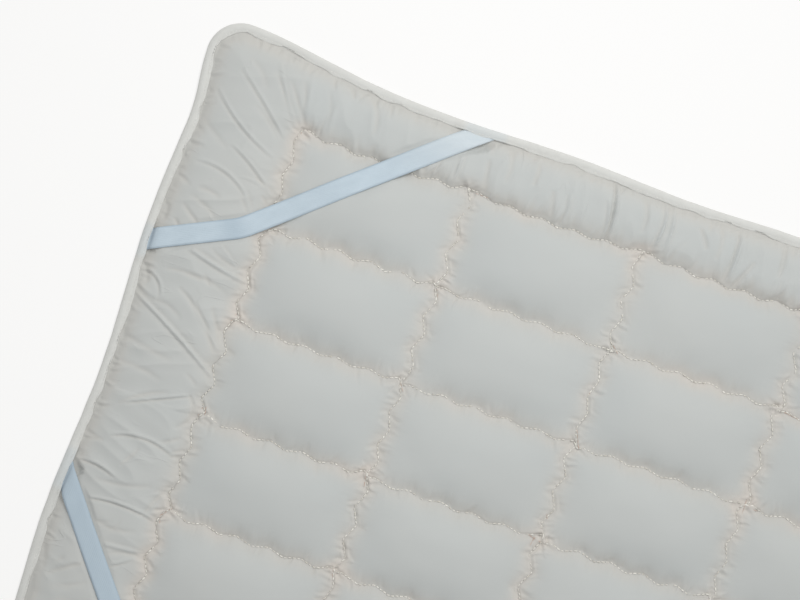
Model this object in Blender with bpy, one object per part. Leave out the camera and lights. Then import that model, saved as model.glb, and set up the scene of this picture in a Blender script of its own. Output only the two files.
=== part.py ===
"""Quilted mattress pad for a single bed, lying with its strap side up.

The pad is one filled body, quilted into cells and closed all round by a folded edge binding.
An elastic strap crosses each corner, with its ends held under the binding.
Metres, +X along the bed, +Y across it, +Z up, with the origin under the middle of the pad.
"""

import math

import bmesh
import bpy
from mathutils import Vector
from mathutils.bvhtree import BVHTree
from mathutils.geometry import delaunay_2d_cdt

# Quilting: eight cells along the pad and six across, inside a stitched frame.
COLUMNS = 8
ROWS = 6
CELL_LENGTH = 0.217
CELL_WIDTH = 0.1215
END_BORDER = 0.1355
SIDE_BORDER = 0.0805
FRAME_X = COLUMNS * CELL_LENGTH / 2
FRAME_Y = ROWS * CELL_WIDTH / 2
HALF_LENGTH = FRAME_X + END_BORDER
HALF_WIDTH = FRAME_Y + SIDE_BORDER

# Outline: round corners that stand out like ears, and sides that wander a little.
CORNER_RADIUS = 0.042
CORNER_STEPS = 6
END_EAR = 0.005
END_EAR_REACH = 0.09
SIDE_EAR = 0.020
SIDE_EAR_REACH = 0.19
CORNER_X = HALF_LENGTH + END_EAR - CORNER_RADIUS
CORNER_Y = HALF_WIDTH + SIDE_EAR - CORNER_RADIUS
END_RIPPLE = 0.0035
END_RIPPLE_LENGTH = 0.37
SIDE_RIPPLE = 0.002
SIDE_RIPPLE_LENGTH = 0.30
LEFT_PHASE = -2.5
RIGHT_PHASE = 0.6
FAR_PHASE = -1.7
NEAR_PHASE = 0.9
STATION_GAP = 0.055

# Heights: the stitching pulls both covers together, and the filling swells between.
STITCH_TOP = 0.0085
STITCH_UNDER = 0.0055
CELL_CROWN = 0.0175
CROWN_UNEVENNESS = 0.0015
CROWN_STEP_X = 2.4
CROWN_STEP_Y = 1.7
BORDER_CROWN = 0.0160
PUFF_FLATNESS = 2.6
PUFF_SHOULDER = 0.62
STITCH_TOLERANCE = 0.0002

# How the stitching strays sideways: along each axis, two slow waves multiplied together. A wave
# has its radians for each metre of X and of Y, and the radians at which it starts.
STITCH_WANDER = 0.003
WAVE_COLUMNS = ("per_x", "per_y", "start")
WAVES_ALONG_X = ((3.1, 17.0, 0.4), (9.0, 0.0, 1.3))
WAVES_ALONG_Y = ((11.0, 0.0, 0.9), (5.0, 7.0, 2.2))

# Edge: a tape folded over the thin rim of the pad, lifted where a strap end lies under it.
GAP = 0.0003
TAPE = 0.0009
BINDING_WIDTH = 0.0115
RIM_BAND = 0.0130
RIM_UNDER = GAP + TAPE
RIM_TOP = 0.0053
RIM_CHAMFER = 0.0014
CHAMFER_DEGREES = 45
LIFT_MARGIN = 0.003
LIFT_RUN = 0.011

# Straps: flat elastic, with both ends under the binding.
STRAP_WIDTH = 0.025
STRAP_THICKNESS = 0.0012
STRAP_LANES = 4
STRAP_STEPS = 30
STRAP_CLEARANCE = 0.0005
STRAP_END_INSET = 0.005
STRAP_EXIT_INSET = 0.0123
EDGE_ROUNDS = 4
STRAP_BEND_SHARE = 0.35
STRAP_TAUT_PASSES = 14
STRAP_LIFT_PASSES = 3
PATCH_SHARES = (0.0, 0.25, 0.5, 0.75, 1.0)

# One row for each strap: the signs of its corner, how far its two ends lie from the corner of
# the stitched frame, and how far inward its knee lies from the same corner.
STRAP_COLUMNS = ("name", "sign_x", "sign_y", "along_end", "along_side", "knee_x", "knee_y")
STRAP_ROWS = (
    ("strap_left_far", -1, 1, 0.188, 0.215, -0.028, 0.134),
    ("strap_right_far", 1, 1, 0.188, 0.215, -0.028, 0.134),
    ("strap_left_near", -1, -1, 0.260, 0.140, 0.000, 0.092),
    ("strap_right_near", 1, -1, 0.260, 0.140, 0.000, 0.092),
)

# Main creases of the borders, each from its outer to its inner end. They are placed for the
# left end of the pad, and each is repeated at the right end by a half turn.
CREASE_WIDTH = 0.011
CREASE_POINTS = 5
CREASE_ENDS = 0.1
CREASE_COLUMNS = ("x1", "y1", "x2", "y2", "depth")
CREASE_ROWS = (
    (-0.985, 0.112, -0.880, 0.056, 0.0050),
    (-0.951, 0.190, -0.876, 0.172, 0.0035),
    (-0.963, -0.137, -0.883, -0.141, 0.0035),
    (-0.948, 0.400, -0.878, 0.342, 0.0035),
    (-0.915, 0.428, -0.875, 0.374, 0.0035),
    (-0.968, -0.315, -0.884, -0.268, 0.0035),
)

# Where the sheets are divided: shares of a cell, and distances outward from the frame.
TOP_SHARES_X = (0.0, 0.05, 0.20, 0.50, 0.80, 0.95)
TOP_SHARES_Y = (0.0, 0.09, 0.28, 0.50, 0.72, 0.91)
TOP_END_STEPS = (0.013, 0.038, 0.072, 0.103)
TOP_SIDE_STEPS = (0.011, 0.033, 0.055)
UNDER_SHARES_X = (0.0, 0.09, 0.91)
UNDER_SHARES_Y = (0.0, 0.15, 0.85)
UNDER_END_STEPS = (0.018, 0.106)
UNDER_SIDE_STEPS = (0.018, 0.052)
POINT_CLEARANCE = 0.007
INSIDE_ONLY = 1
NET_TOLERANCE = 1e-7

SHARP_DEGREES = 60
COVER_COLOUR = (0.56, 0.56, 0.54, 1.0)
TAPE_COLOUR = (0.64, 0.64, 0.61, 1.0)
ELASTIC_COLOUR = (0.55, 0.65, 0.73, 1.0)


def clear_scene():
    """Empty the scene."""
    for found in list(bpy.data.objects):
        bpy.data.objects.remove(found, do_unlink=True)


def fabric(name, colour, roughness):
    """A plain woven material."""
    made = bpy.data.materials.new(name)
    made.use_nodes = True
    shader = made.node_tree.nodes["Principled BSDF"]
    shader.inputs["Base Color"].default_value = colour
    shader.inputs["Roughness"].default_value = roughness
    shader.inputs["Metallic"].default_value = 0.0
    return made


def place(name, shape, material):
    """Put a finished bmesh into the scene as a named object."""
    mesh = bpy.data.meshes.new(name)
    bmesh.ops.recalc_face_normals(shape, faces=shape.faces)
    shape.to_mesh(mesh)
    shape.free()
    mesh.materials.append(material)
    mesh.shade_smooth()
    mesh.set_sharp_from_angle(angle=math.radians(SHARP_DEGREES))
    made = bpy.data.objects.new(name, mesh)
    bpy.context.scene.collection.objects.link(made)
    return made


def fade(distance, reach):
    """1 at no distance and 0 at reach and beyond, with level ends."""
    share = min(max(distance / reach, 0.0), 1.0)
    return 0.5 * (1.0 + math.cos(math.pi * share))


def puff(share):
    """The swell between two held lines: 0 at shares 0 and 1, and 1 half way."""
    return max(1.0 - abs(2 * share - 1.0) ** PUFF_FLATNESS, 0.0) ** PUFF_SHOULDER


def edge_x(sign, y):
    """X of the finished edge at one end of the pad, at this Y."""
    phase = RIGHT_PHASE if sign > 0 else LEFT_PHASE
    ear = fade(CORNER_Y - abs(y), END_EAR_REACH)
    wave = math.sin(2 * math.pi * (HALF_WIDTH - y) / END_RIPPLE_LENGTH + phase)
    return sign * (HALF_LENGTH + END_EAR * ear + END_RIPPLE * wave * (1.0 - ear))


def edge_y(x, sign):
    """Y of the finished edge on one long side, at this X."""
    phase = FAR_PHASE if sign > 0 else NEAR_PHASE
    ear = fade(CORNER_X - abs(x), SIDE_EAR_REACH)
    wave = math.sin(2 * math.pi * (HALF_LENGTH + x) / SIDE_RIPPLE_LENGTH + phase)
    return sign * (HALF_WIDTH + SIDE_EAR * ear + SIDE_RIPPLE * wave * (1.0 - ear))


def inside_band(x, y):
    """How far a point lies inside the rim band, where the filling ends."""
    across = abs(edge_x(math.copysign(1, x), y)) - RIM_BAND - abs(x)
    along = abs(edge_y(x, math.copysign(1, y))) - RIM_BAND - abs(y)
    nearest = min(across, along)
    if abs(x) > CORNER_X and abs(y) > CORNER_Y:
        out = math.hypot(abs(x) - CORNER_X, abs(y) - CORNER_Y)
        nearest = CORNER_RADIUS - RIM_BAND - out
    return max(nearest, 0.0)


def crease_lines():
    """Every crease as (outer end, inner end, depth)."""
    lines = []
    for values in CREASE_ROWS:
        row = dict(zip(CREASE_COLUMNS, values))
        outer = Vector((row["x1"], row["y1"]))
        inner = Vector((row["x2"], row["y2"]))
        lines.append((outer, inner, row["depth"]))
        lines.append((-outer, -inner, row["depth"]))
    return lines


def crease_depth(x, y, lines):
    """How far the creases draw the upper cover down at this point."""
    point = Vector((x, y))
    deepest = 0.0
    for outer, inner, depth in lines:
        run = inner - outer
        share = min(max((point - outer).dot(run) / run.length_squared, 0.0), 1.0)
        off = (point - outer - run * share).length
        along = math.sin(math.pi * (CREASE_ENDS + (1.0 - 2 * CREASE_ENDS) * share))
        deepest = max(deepest, depth * along * fade(off, CREASE_WIDTH))
    return deepest


def cell_place(x, y):
    """Which cell a point of the quilting lies in, and its shares along and across that cell."""
    column, share_x = divmod((x + FRAME_X) / CELL_LENGTH, 1.0)
    row, share_y = divmod((FRAME_Y - y) / CELL_WIDTH, 1.0)
    return column, row, share_x, share_y


def border_share(x, y):
    """How far out a border point lies: 0 at the stitched frame and 1 at the rim band."""
    inner = math.hypot(max(abs(x) - FRAME_X, 0.0), max(abs(y) - FRAME_Y, 0.0))
    return inner / (inner + inside_band(x, y))


def in_quilting(x, y):
    """Whether a point lies on the stitched frame or inside it."""
    return abs(x) <= FRAME_X + STITCH_TOLERANCE and abs(y) <= FRAME_Y + STITCH_TOLERANCE


def top_height(x, y, creases):
    """Height of the upper cover above the surface that the pad lies on."""
    if in_quilting(x, y):
        column, row, share_x, share_y = cell_place(x, y)
        unevenness = math.sin(CROWN_STEP_X * column + CROWN_STEP_Y * row)
        crown = CELL_CROWN + CROWN_UNEVENNESS * unevenness
        return STITCH_TOP + crown * puff(share_x) * puff(share_y)
    share = border_share(x, y)
    swell = BORDER_CROWN * puff(share)
    crease = crease_depth(x, y, creases) * puff(share)
    return STITCH_TOP + (RIM_TOP - STITCH_TOP) * share + swell - crease


def under_height(x, y):
    """Height of the under cover: flat on the surface, and drawn up where it is held."""
    if in_quilting(x, y):
        _, _, share_x, share_y = cell_place(x, y)
        held = min(share_x, 1.0 - share_x) < UNDER_SHARES_X[1] / 2
        held = held or min(share_y, 1.0 - share_y) < UNDER_SHARES_Y[1] / 2
        return STITCH_UNDER if held else 0.0
    return 0.0


def waves(x, y, rows):
    """Several slow waves multiplied together, at this point."""
    product = 1.0
    for values in rows:
        wave = dict(zip(WAVE_COLUMNS, values))
        product *= math.sin(wave["per_x"] * x + wave["per_y"] * y + wave["start"])
    return product


def wander(x, y):
    """How far the stitching strays in the plane of the sheet."""
    beyond = max(abs(x) - FRAME_X, abs(y) - FRAME_Y, 0.0)
    held = fade(beyond, SIDE_BORDER / 2) * STITCH_WANDER
    return Vector((waves(x, y, WAVES_ALONG_X), waves(x, y, WAVES_ALONG_Y))) * held


def strap_table():
    """The strap rows as dictionaries."""
    return [dict(zip(STRAP_COLUMNS, row)) for row in STRAP_ROWS]


def under_edge(start, direction, axis, inset):
    """The point of a lane that lies this far inside the finished edge, on the side that it meets."""
    point = start
    for _ in range(EDGE_ROUNDS):
        sign = math.copysign(1, point[axis])
        edge = edge_x(sign, point.y) if axis == 0 else edge_y(point.x, sign)
        point = start + direction * ((edge - sign * inset - start[axis]) / direction[axis])
    return point


def strap_lanes(row):
    """Each lane of a strap in plan: end, exit from the binding, knee, exit, and end."""
    flip = Vector((row["sign_x"], row["sign_y"]))
    corner = Vector((FRAME_X * flip.x, FRAME_Y * flip.y))
    end_y = corner.y - flip.y * row["along_end"]
    side_x = corner.x - flip.x * row["along_side"]
    end = Vector((edge_x(flip.x, end_y), end_y))
    side = Vector((side_x, edge_y(side_x, flip.y)))
    knee = corner - Vector((flip.x * row["knee_x"], flip.y * row["knee_y"]))
    first = (knee - end).normalized()
    second = (side - knee).normalized()
    across_1 = Vector((-first.y, first.x))
    across_2 = Vector((-second.y, second.x))
    mitre = (across_1 + across_2) / (1.0 + across_1.dot(across_2))
    lanes = []
    for lane in range(STRAP_LANES):
        shift = STRAP_WIDTH * (lane / (STRAP_LANES - 1) - 0.5)
        end_lane = end + across_1 * shift
        side_lane = side + across_2 * shift
        lanes.append(
            (
                under_edge(end_lane, first, 0, STRAP_END_INSET),
                under_edge(end_lane, first, 0, STRAP_EXIT_INSET),
                knee + mitre * shift,
                under_edge(side_lane, second, 1, STRAP_EXIT_INSET),
                under_edge(side_lane, second, 1, STRAP_END_INSET),
            )
        )
    return lanes


def strap_feet():
    """Where strap ends lie under the binding, as (side of the pad, lowest, highest)."""
    feet = []
    for row in strap_table():
        lanes = strap_lanes(row)
        along_end = [point.y for lane in lanes for point in lane[:2]]
        along_side = [point.x for lane in lanes for point in lane[3:]]
        feet.append(("right" if row["sign_x"] > 0 else "left", min(along_end), max(along_end)))
        feet.append(("far" if row["sign_y"] > 0 else "near", min(along_side), max(along_side)))
    return feet


def lift_at(side, value, feet):
    """How far the binding is lifted over a strap end, at this place on one side of the pad."""
    lift = 0.0
    for foot_side, low, high in feet:
        if foot_side == side:
            off = max(low - LIFT_MARGIN - value, value - high - LIFT_MARGIN, 0.0)
            lift = max(lift, (STRAP_THICKNESS + GAP) * max(1.0 - off / LIFT_RUN, 0.0))
    return lift


def side_stations(side, reach, feet):
    """Places along one side: evenly spread, with the ones that the strap ends need put in."""
    wanted = []
    for foot_side, low, high in feet:
        if foot_side == side:
            inner = (low - LIFT_MARGIN, high + LIFT_MARGIN)
            wanted += [inner[0] - LIFT_RUN, inner[0], inner[1], inner[1] + LIFT_RUN]
    count = math.ceil(2 * reach / STATION_GAP)
    even = [reach * (2 * step / count - 1.0) for step in range(1, count)]
    clear = [value for value in even if all(abs(value - other) > STATION_GAP / 3 for other in wanted)]
    return sorted(clear + wanted)


def band_line(feet):
    """The inner edge of the rim band, anticlockwise, and the lift of the binding at each point."""
    corners = (
        ("far", CORNER_X, CORNER_Y, 0.0),
        ("left", -CORNER_X, CORNER_Y, 90.0),
        ("near", -CORNER_X, -CORNER_Y, 180.0),
        ("right", CORNER_X, -CORNER_Y, 270.0),
    )
    radius = CORNER_RADIUS - RIM_BAND
    line = []
    lifts = []
    for side, centre_x, centre_y, first in corners:
        for step in range(CORNER_STEPS + 1):
            angle = math.radians(first + 90.0 * step / CORNER_STEPS)
            line.append(Vector((centre_x + radius * math.cos(angle), centre_y + radius * math.sin(angle))))
            lifts.append(0.0)
        reach = CORNER_X if side in ("far", "near") else CORNER_Y
        values = side_stations(side, reach, feet)
        if side in ("far", "left"):
            values.reverse()
        sign = 1 if side in ("far", "right") else -1
        for value in values:
            if side in ("far", "near"):
                line.append(Vector((value, edge_y(value, sign) - sign * RIM_BAND)))
            else:
                line.append(Vector((edge_x(sign, value) - sign * RIM_BAND, value)))
            lifts.append(lift_at(side, value, feet))
    return line, lifts


def outward_steps(line):
    """For each point of a closed anticlockwise line, the step that moves both its edges out by 1."""
    steps = []
    for index, point in enumerate(line):
        before = point - line[index - 1]
        after = line[(index + 1) % len(line)] - point
        first = Vector((before.y, -before.x)).normalized()
        second = Vector((after.y, -after.x)).normalized()
        steps.append((first + second) / (1.0 + first.dot(second)))
    return steps


def stations(count, pitch, shares, border_steps):
    """Places along one axis: the shares of each cell, and the steps beyond the frame."""
    half = count * pitch / 2
    inner = [(cell + share) * pitch - half for cell in range(count) for share in shares]
    outer = [half] + [half + step for step in border_steps]
    return [-value for value in reversed(outer[1:])] + inner + outer


def crease_points(creases):
    """The points along the middle of each crease, and the loose points on both sides of it."""
    spines = []
    shoulders = []
    for outer, inner, _ in creases:
        run = inner - outer
        across = Vector((-run.y, run.x)).normalized() * CREASE_WIDTH
        spine = [outer + run * (step / (CREASE_POINTS - 1)) for step in range(CREASE_POINTS)]
        spines.append([point for point in spine if in_border(point)])
        sides = [point + across * side for point in spine[1:-1] for side in (-1, 1)]
        shoulders += [point for point in sides if in_border(point)]
    return spines, shoulders


def in_border(point):
    """Whether a point lies between the stitched frame and the rim band, clear of the band."""
    return inside_band(point.x, point.y) > POINT_CLEARANCE and not in_quilting(point.x, point.y)


def free_of(point, others):
    """Whether a point keeps its distance from all the others."""
    return all((point - other).length > POINT_CLEARANCE for other in others)


def net(line, values_x, values_y, spines=(), shoulders=()):
    """Triangles over the region inside a closed line.

    The stations give a grid of points. The spines are rows of points that stay joined, and the
    shoulders are loose points. Returns the points, the triangles and where each point of the
    line is among the points.
    """
    points = [point.copy() for point in line]
    edges = []
    for spine in spines:
        first = len(points)
        points += spine
        edges += [(first + step, first + step + 1) for step in range(len(spine) - 1)]
    points += shoulders
    creased = points[len(line):]
    taken = {}
    for i, x in enumerate(values_x):
        for j, y in enumerate(values_y):
            point = Vector((x, y))
            if in_quilting(x, y) or (in_border(point) and free_of(point, creased)):
                taken[i, j] = len(points)
                points.append(point)
    edges += [(taken[i, j], taken[i + 1, j]) for i, j in taken if (i + 1, j) in taken]
    edges += [(taken[i, j], taken[i, j + 1]) for i, j in taken if (i, j + 1) in taken]
    found = delaunay_2d_cdt(points, edges, [list(range(len(line)))], INSIDE_ONLY, NET_TOLERANCE)
    places, faces, sources = found[0], found[2], found[3]
    rim = [0] * len(line)
    for index, source in enumerate(sources):
        for original in source:
            if original < len(line):
                rim[original] = index
    return places, faces, rim


def add_sheet(shape, places, faces, height_at):
    """Add one cover to a bmesh and return its vertices."""
    verts = []
    for place_xy in places:
        moved = place_xy + wander(*place_xy)
        verts.append(shape.verts.new((moved.x, moved.y, height_at(place_xy.x, place_xy.y))))
    for face in faces:
        shape.faces.new([verts[index] for index in face])
    return verts


def add_ring(shape, line, steps, out, heights):
    """Add a closed row of vertices, moved out from the band line."""
    moved = [point + step * out for point, step in zip(line, steps)]
    return [shape.verts.new((point.x, point.y, height)) for point, height in zip(moved, heights)]


def bridge(shape, first, second):
    """Join two closed rows of vertices with a strip of faces."""
    for index in range(len(first)):
        other = (index + 1) % len(first)
        shape.faces.new((first[index], first[other], second[other], second[index]))


def edge_profile(offset):
    """The upper half of the section round the rim, this far outside the pad's own edge.

    Each pair is a distance out from the band line and a height above the upper face of the rim.
    The under half mirrors it.
    """
    edge = RIM_BAND - TAPE - GAP
    mitre = math.tan(math.radians(CHAMFER_DEGREES / 2)) * offset
    return ((edge - RIM_CHAMFER + mitre, offset), (edge + offset, mitre - RIM_CHAMFER))


def make_pad(line, steps, material):
    """The filled body: two covers held together by the quilting and at the rim."""
    shape = bmesh.new()
    creases = crease_lines()
    top_x = stations(COLUMNS, CELL_LENGTH, TOP_SHARES_X, TOP_END_STEPS)
    top_y = stations(ROWS, CELL_WIDTH, TOP_SHARES_Y, TOP_SIDE_STEPS)
    places, faces, rim = net(line, top_x, top_y, *crease_points(creases))
    verts = add_sheet(shape, places, faces, lambda x, y: top_height(x, y, creases))
    top_rim = [verts[index] for index in rim]
    under_x = stations(COLUMNS, CELL_LENGTH, UNDER_SHARES_X, UNDER_END_STEPS)
    under_y = stations(ROWS, CELL_WIDTH, UNDER_SHARES_Y, UNDER_SIDE_STEPS)
    places, faces, rim = net(line, under_x, under_y)
    verts = add_sheet(shape, places, faces, under_height)
    under_rim = [verts[index] for index in rim]
    for vert in under_rim:
        vert.co.z = RIM_UNDER
    rings = [top_rim]
    profile = edge_profile(0.0)
    section = [(out, RIM_TOP + rise) for out, rise in profile]
    section += [(out, RIM_UNDER - rise) for out, rise in reversed(profile)]
    for out, height in section:
        rings.append(add_ring(shape, line, steps, out, [height] * len(line)))
    rings.append(under_rim)
    for first, second in zip(rings, rings[1:]):
        bridge(shape, first, second)
    return place("quilted_pad", shape, material)


def make_binding(line, steps, lifts, material):
    """The tape folded over the rim, all the way round."""
    shape = bmesh.new()
    free_edge = RIM_BAND - BINDING_WIDTH
    section = []
    for offset, turned in ((GAP + TAPE, False), (GAP, True)):
        upper = [(free_edge, RIM_TOP + offset, 1.0)]
        upper += [(out, RIM_TOP + rise, 1.0) for out, rise in edge_profile(offset)]
        upper[-1] = (upper[-1][0], upper[-1][1], 0.0)
        lower = [(out, RIM_UNDER - rise, 0.0) for out, rise in reversed(edge_profile(offset))]
        lower += [(free_edge, RIM_UNDER - offset, 0.0)]
        half = upper + lower
        section += reversed(half) if turned else half
    rings = []
    for out, height, lifted in section:
        heights = [height + lift * lifted for lift in lifts]
        rings.append(add_ring(shape, line, steps, out, heights))
    for index, ring in enumerate(rings):
        bridge(shape, rings[index - 1], ring)
    return place("edge_binding", shape, material)


def lane_path(lane):
    """A strap lane in plan as evenly shared points: straight, round the knee, and straight."""
    end, first_exit, knee, second_exit, side = lane
    reach = STRAP_BEND_SHARE * min((knee - first_exit).length, (second_exit - knee).length)
    enter = knee + (first_exit - knee).normalized() * reach
    leave = knee + (second_exit - knee).normalized() * reach
    bend = []
    for step in range(STRAP_STEPS + 1):
        share = step / STRAP_STEPS
        bend.append(enter.lerp(knee, share).lerp(knee.lerp(leave, share), share))
    rough = [first_exit] + bend + [second_exit]
    runs = [(after - before).length for before, after in zip(rough, rough[1:])]
    total = sum(runs)
    path = [end, first_exit]
    for step in range(1, STRAP_STEPS):
        target = total * step / STRAP_STEPS
        index = 0
        while target > runs[index]:
            target -= runs[index]
            index += 1
        path.append(rough[index].lerp(rough[index + 1], target / runs[index]))
    return path + [second_exit, side]


def cover_height(tree, point):
    """Height of the pad's upper cover at this place."""
    hit = tree.ray_cast(Vector((point.x, point.y, 1.0)), Vector((0.0, 0.0, -1.0)))
    return hit[0].z


def lift_patch(paths, rows, lane, index, tree):
    """Raise one patch of a strap, between two lanes and two points, until it clears the cover."""
    last = len(paths[0]) - 1
    corners = ((lane, index), (lane + 1, index), (lane, index + 1), (lane + 1, index + 1))
    for across in PATCH_SHARES:
        for along in PATCH_SHARES:
            weights = (
                (1 - across) * (1 - along),
                across * (1 - along),
                (1 - across) * along,
                across * along,
            )
            point = Vector((0.0, 0.0))
            height = 0.0
            for weight, (one, step) in zip(weights, corners):
                point += paths[one][step] * weight
                height += rows[one][step] * weight
            missing = cover_height(tree, point) + STRAP_CLEARANCE - height
            for one, step in corners:
                if missing > 0 and 1 < step < last - 1:
                    rows[one][step] += missing


def strap_heights(paths, tree):
    """Heights of a strap's under face: held at its ends, and resting on the cover between."""
    held = RIM_TOP + GAP
    rows = []
    for path in paths:
        rows.append([cover_height(tree, point) + STRAP_CLEARANCE for point in path])
    last = len(paths[0]) - 1
    for row in rows:
        for index in (0, 1, last - 1, last):
            row[index] = held
        for _ in range(STRAP_TAUT_PASSES):
            for index in range(2, last - 1):
                row[index] = max(row[index], (row[index - 1] + row[index + 1]) / 2)
    for _ in range(STRAP_LIFT_PASSES):
        for lane in range(len(rows) - 1):
            for index in range(1, last - 1):
                lift_patch(paths, rows, lane, index, tree)
    return rows


def make_strap(row, tree, material):
    """One elastic strap across a corner."""
    shape = bmesh.new()
    paths = [lane_path(lane) for lane in strap_lanes(row)]
    heights = strap_heights(paths, tree)
    layers = []
    for rise in (0.0, STRAP_THICKNESS):
        layer = []
        for path, lane_heights in zip(paths, heights):
            ends = zip(path, lane_heights)
            layer.append([shape.verts.new((point.x, point.y, z + rise)) for point, z in ends])
        layers.append(layer)
    count = len(paths[0])
    for layer in layers:
        for lane in range(STRAP_LANES - 1):
            for index in range(count - 1):
                shape.faces.new(
                    (
                        layer[lane][index],
                        layer[lane][index + 1],
                        layer[lane + 1][index + 1],
                        layer[lane + 1][index],
                    )
                )
    rims = []
    for layer in layers:
        rims.append(layer[0] + [lane[-1] for lane in layer[1:-1]] + layer[-1][::-1])
        rims[-1] += [lane[0] for lane in layer[-2:0:-1]]
    bridge(shape, rims[0], rims[1])
    return place(row["name"], shape, material)


def main():
    """Model the pad, its binding and its straps."""
    clear_scene()
    cover = fabric("cover_fabric", COVER_COLOUR, 0.75)
    tape = fabric("binding_tape", TAPE_COLOUR, 0.7)
    elastic = fabric("strap_elastic", ELASTIC_COLOUR, 0.6)
    line, lifts = band_line(strap_feet())
    steps = outward_steps(line)
    pad = make_pad(line, steps, cover)
    make_binding(line, steps, lifts, tape)
    corners = [vertex.co.copy() for vertex in pad.data.vertices]
    tree = BVHTree.FromPolygons(corners, [tuple(face.vertices) for face in pad.data.polygons])
    for row in strap_table():
        make_strap(row, tree, elastic)


main()
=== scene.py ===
"""Quilted mattress pad, strap side up, dressed for rendering.

The covers, their stitching, the folded edge binding and the elastic corner straps are built
round the fixed frame of solids. Metres, +X along the bed, +Y across it, +Z up.
"""

import logging
import math
from dataclasses import dataclass, field
from enum import Enum
from typing import Any, Union

import bmesh
import bpy
import numpy as np
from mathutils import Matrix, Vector
from mathutils.geometry import delaunay_2d_cdt


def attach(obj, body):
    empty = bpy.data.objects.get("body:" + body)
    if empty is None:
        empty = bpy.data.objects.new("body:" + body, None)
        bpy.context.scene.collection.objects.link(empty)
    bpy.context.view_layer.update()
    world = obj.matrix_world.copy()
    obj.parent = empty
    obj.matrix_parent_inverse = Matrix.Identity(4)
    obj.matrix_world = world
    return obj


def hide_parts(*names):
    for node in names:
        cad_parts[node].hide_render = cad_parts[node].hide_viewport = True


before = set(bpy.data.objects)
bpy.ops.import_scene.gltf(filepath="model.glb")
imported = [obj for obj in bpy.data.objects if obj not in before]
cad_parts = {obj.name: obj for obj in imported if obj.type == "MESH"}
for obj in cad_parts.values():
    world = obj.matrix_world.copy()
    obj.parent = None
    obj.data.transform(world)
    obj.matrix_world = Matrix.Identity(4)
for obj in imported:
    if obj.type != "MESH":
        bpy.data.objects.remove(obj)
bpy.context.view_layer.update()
LOG = logging.getLogger("mattress_pad")
Array = np.ndarray
Number = Union[float, Array]
Colour = tuple[float, float, float, float]
MM = 0.001


# Shared measures

@dataclass(frozen=True)
class Gauge:
    """Sizes that the dressed pad shares with its solids."""

    columns: int = 8
    rows: int = 6
    cell_length: float = 0.217
    cell_width: float = 0.1215
    end_border: float = 0.1355
    side_border: float = 0.0805
    corner_radius: float = 0.042
    end_ear: float = 0.005
    end_ear_reach: float = 0.09
    side_ear: float = 0.020
    side_ear_reach: float = 0.19
    end_ripple: float = 0.0035
    end_ripple_length: float = 0.37
    side_ripple: float = 0.002
    side_ripple_length: float = 0.30
    left_phase: float = -2.5
    right_phase: float = 0.6
    far_phase: float = -1.7
    near_phase: float = 0.9
    rim_band: float = 0.013
    rim_inset: float = 0.0012
    rim_top: float = 0.0053
    rim_under: float = 0.0012
    stitch_top: float = 0.0085
    stitch_under: float = 0.0055
    cell_crown: float = 0.0175
    crown_unevenness: float = 0.0015
    border_crown: float = 0.0160

    @property
    def frame_x(self) -> float:
        """Half the length of the stitched frame."""
        return self.columns * self.cell_length / 2

    @property
    def frame_y(self) -> float:
        """Half the width of the stitched frame."""
        return self.rows * self.cell_width / 2

    @property
    def half_length(self) -> float:
        """Half the length between the finished ends."""
        return self.frame_x + self.end_border

    @property
    def half_width(self) -> float:
        """Half the width between the finished sides."""
        return self.frame_y + self.side_border

    @property
    def corner_x(self) -> float:
        """X of the middle of a corner's arc."""
        return self.half_length + self.end_ear - self.corner_radius

    @property
    def corner_y(self) -> float:
        """Y of the middle of a corner's arc."""
        return self.half_width + self.side_ear - self.corner_radius

    def cells(self, x: Array, y: Array) -> tuple[Array, Array]:
        """Places of points in cells, from the left end and from the far side of the frame."""
        return (x + self.frame_x) / self.cell_length, (self.frame_y - y) / self.cell_width

    def edge_x(self, sign: float, y: Number) -> Number:
        """X of the finished edge at one end.

        Args:
            sign: 1 for the right end, -1 for the left end.
            y: place along that end.

        Returns:
            The X of the edge there.
        """
        phase = self.right_phase if sign > 0 else self.left_phase
        ear = fade(self.corner_y - np.abs(y), self.end_ear_reach)
        wave = np.sin(2 * np.pi * (self.half_width - y) / self.end_ripple_length + phase)
        return sign * (self.half_length + self.end_ear * ear + self.end_ripple * wave * (1 - ear))

    def edge_y(self, x: Number, sign: float) -> Number:
        """Y of the finished edge on one long side.

        Args:
            x: place along that side.
            sign: 1 for the far side, -1 for the near side.

        Returns:
            The Y of the edge there.
        """
        phase = self.far_phase if sign > 0 else self.near_phase
        ear = fade(self.corner_x - np.abs(x), self.side_ear_reach)
        wave = np.sin(2 * np.pi * (self.half_length + x) / self.side_ripple_length + phase)
        return sign * (self.half_width + self.side_ear * ear + self.side_ripple * wave * (1 - ear))

    def inside(self, x: Array, y: Array, band: float) -> Array:
        """How far points lie inside a line that runs this far inside the finished edge.

        Args:
            x: X of the points.
            y: Y of the points.
            band: how far the line lies inside the edge.

        Returns:
            Distances in metres, 0 outside the line.
        """
        limit_x = np.where(x > 0, self.edge_x(1, y), -self.edge_x(-1, y))
        limit_y = np.where(y > 0, self.edge_y(x, 1), -self.edge_y(x, -1))
        nearest = np.minimum(limit_x - np.abs(x), limit_y - np.abs(y)) - band
        over_x = np.abs(x) - self.corner_x
        over_y = np.abs(y) - self.corner_y
        corner = (over_x > 0) & (over_y > 0)
        nearest = np.where(corner, self.corner_radius - band - np.hypot(over_x, over_y), nearest)
        return np.maximum(nearest, 0.0)


GAUGE = Gauge()


def fade(distance: Number, reach: float) -> Number:
    """1 at no distance and 0 at reach and beyond, with level ends."""
    return 0.5 * (1.0 + np.cos(np.pi * np.clip(distance / reach, 0.0, 1.0)))


def smooth(share: Number) -> Number:
    """A level-ended step from 0 to 1."""
    kept = np.clip(share, 0.0, 1.0)
    return kept * kept * (3.0 - 2.0 * kept)


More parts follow.
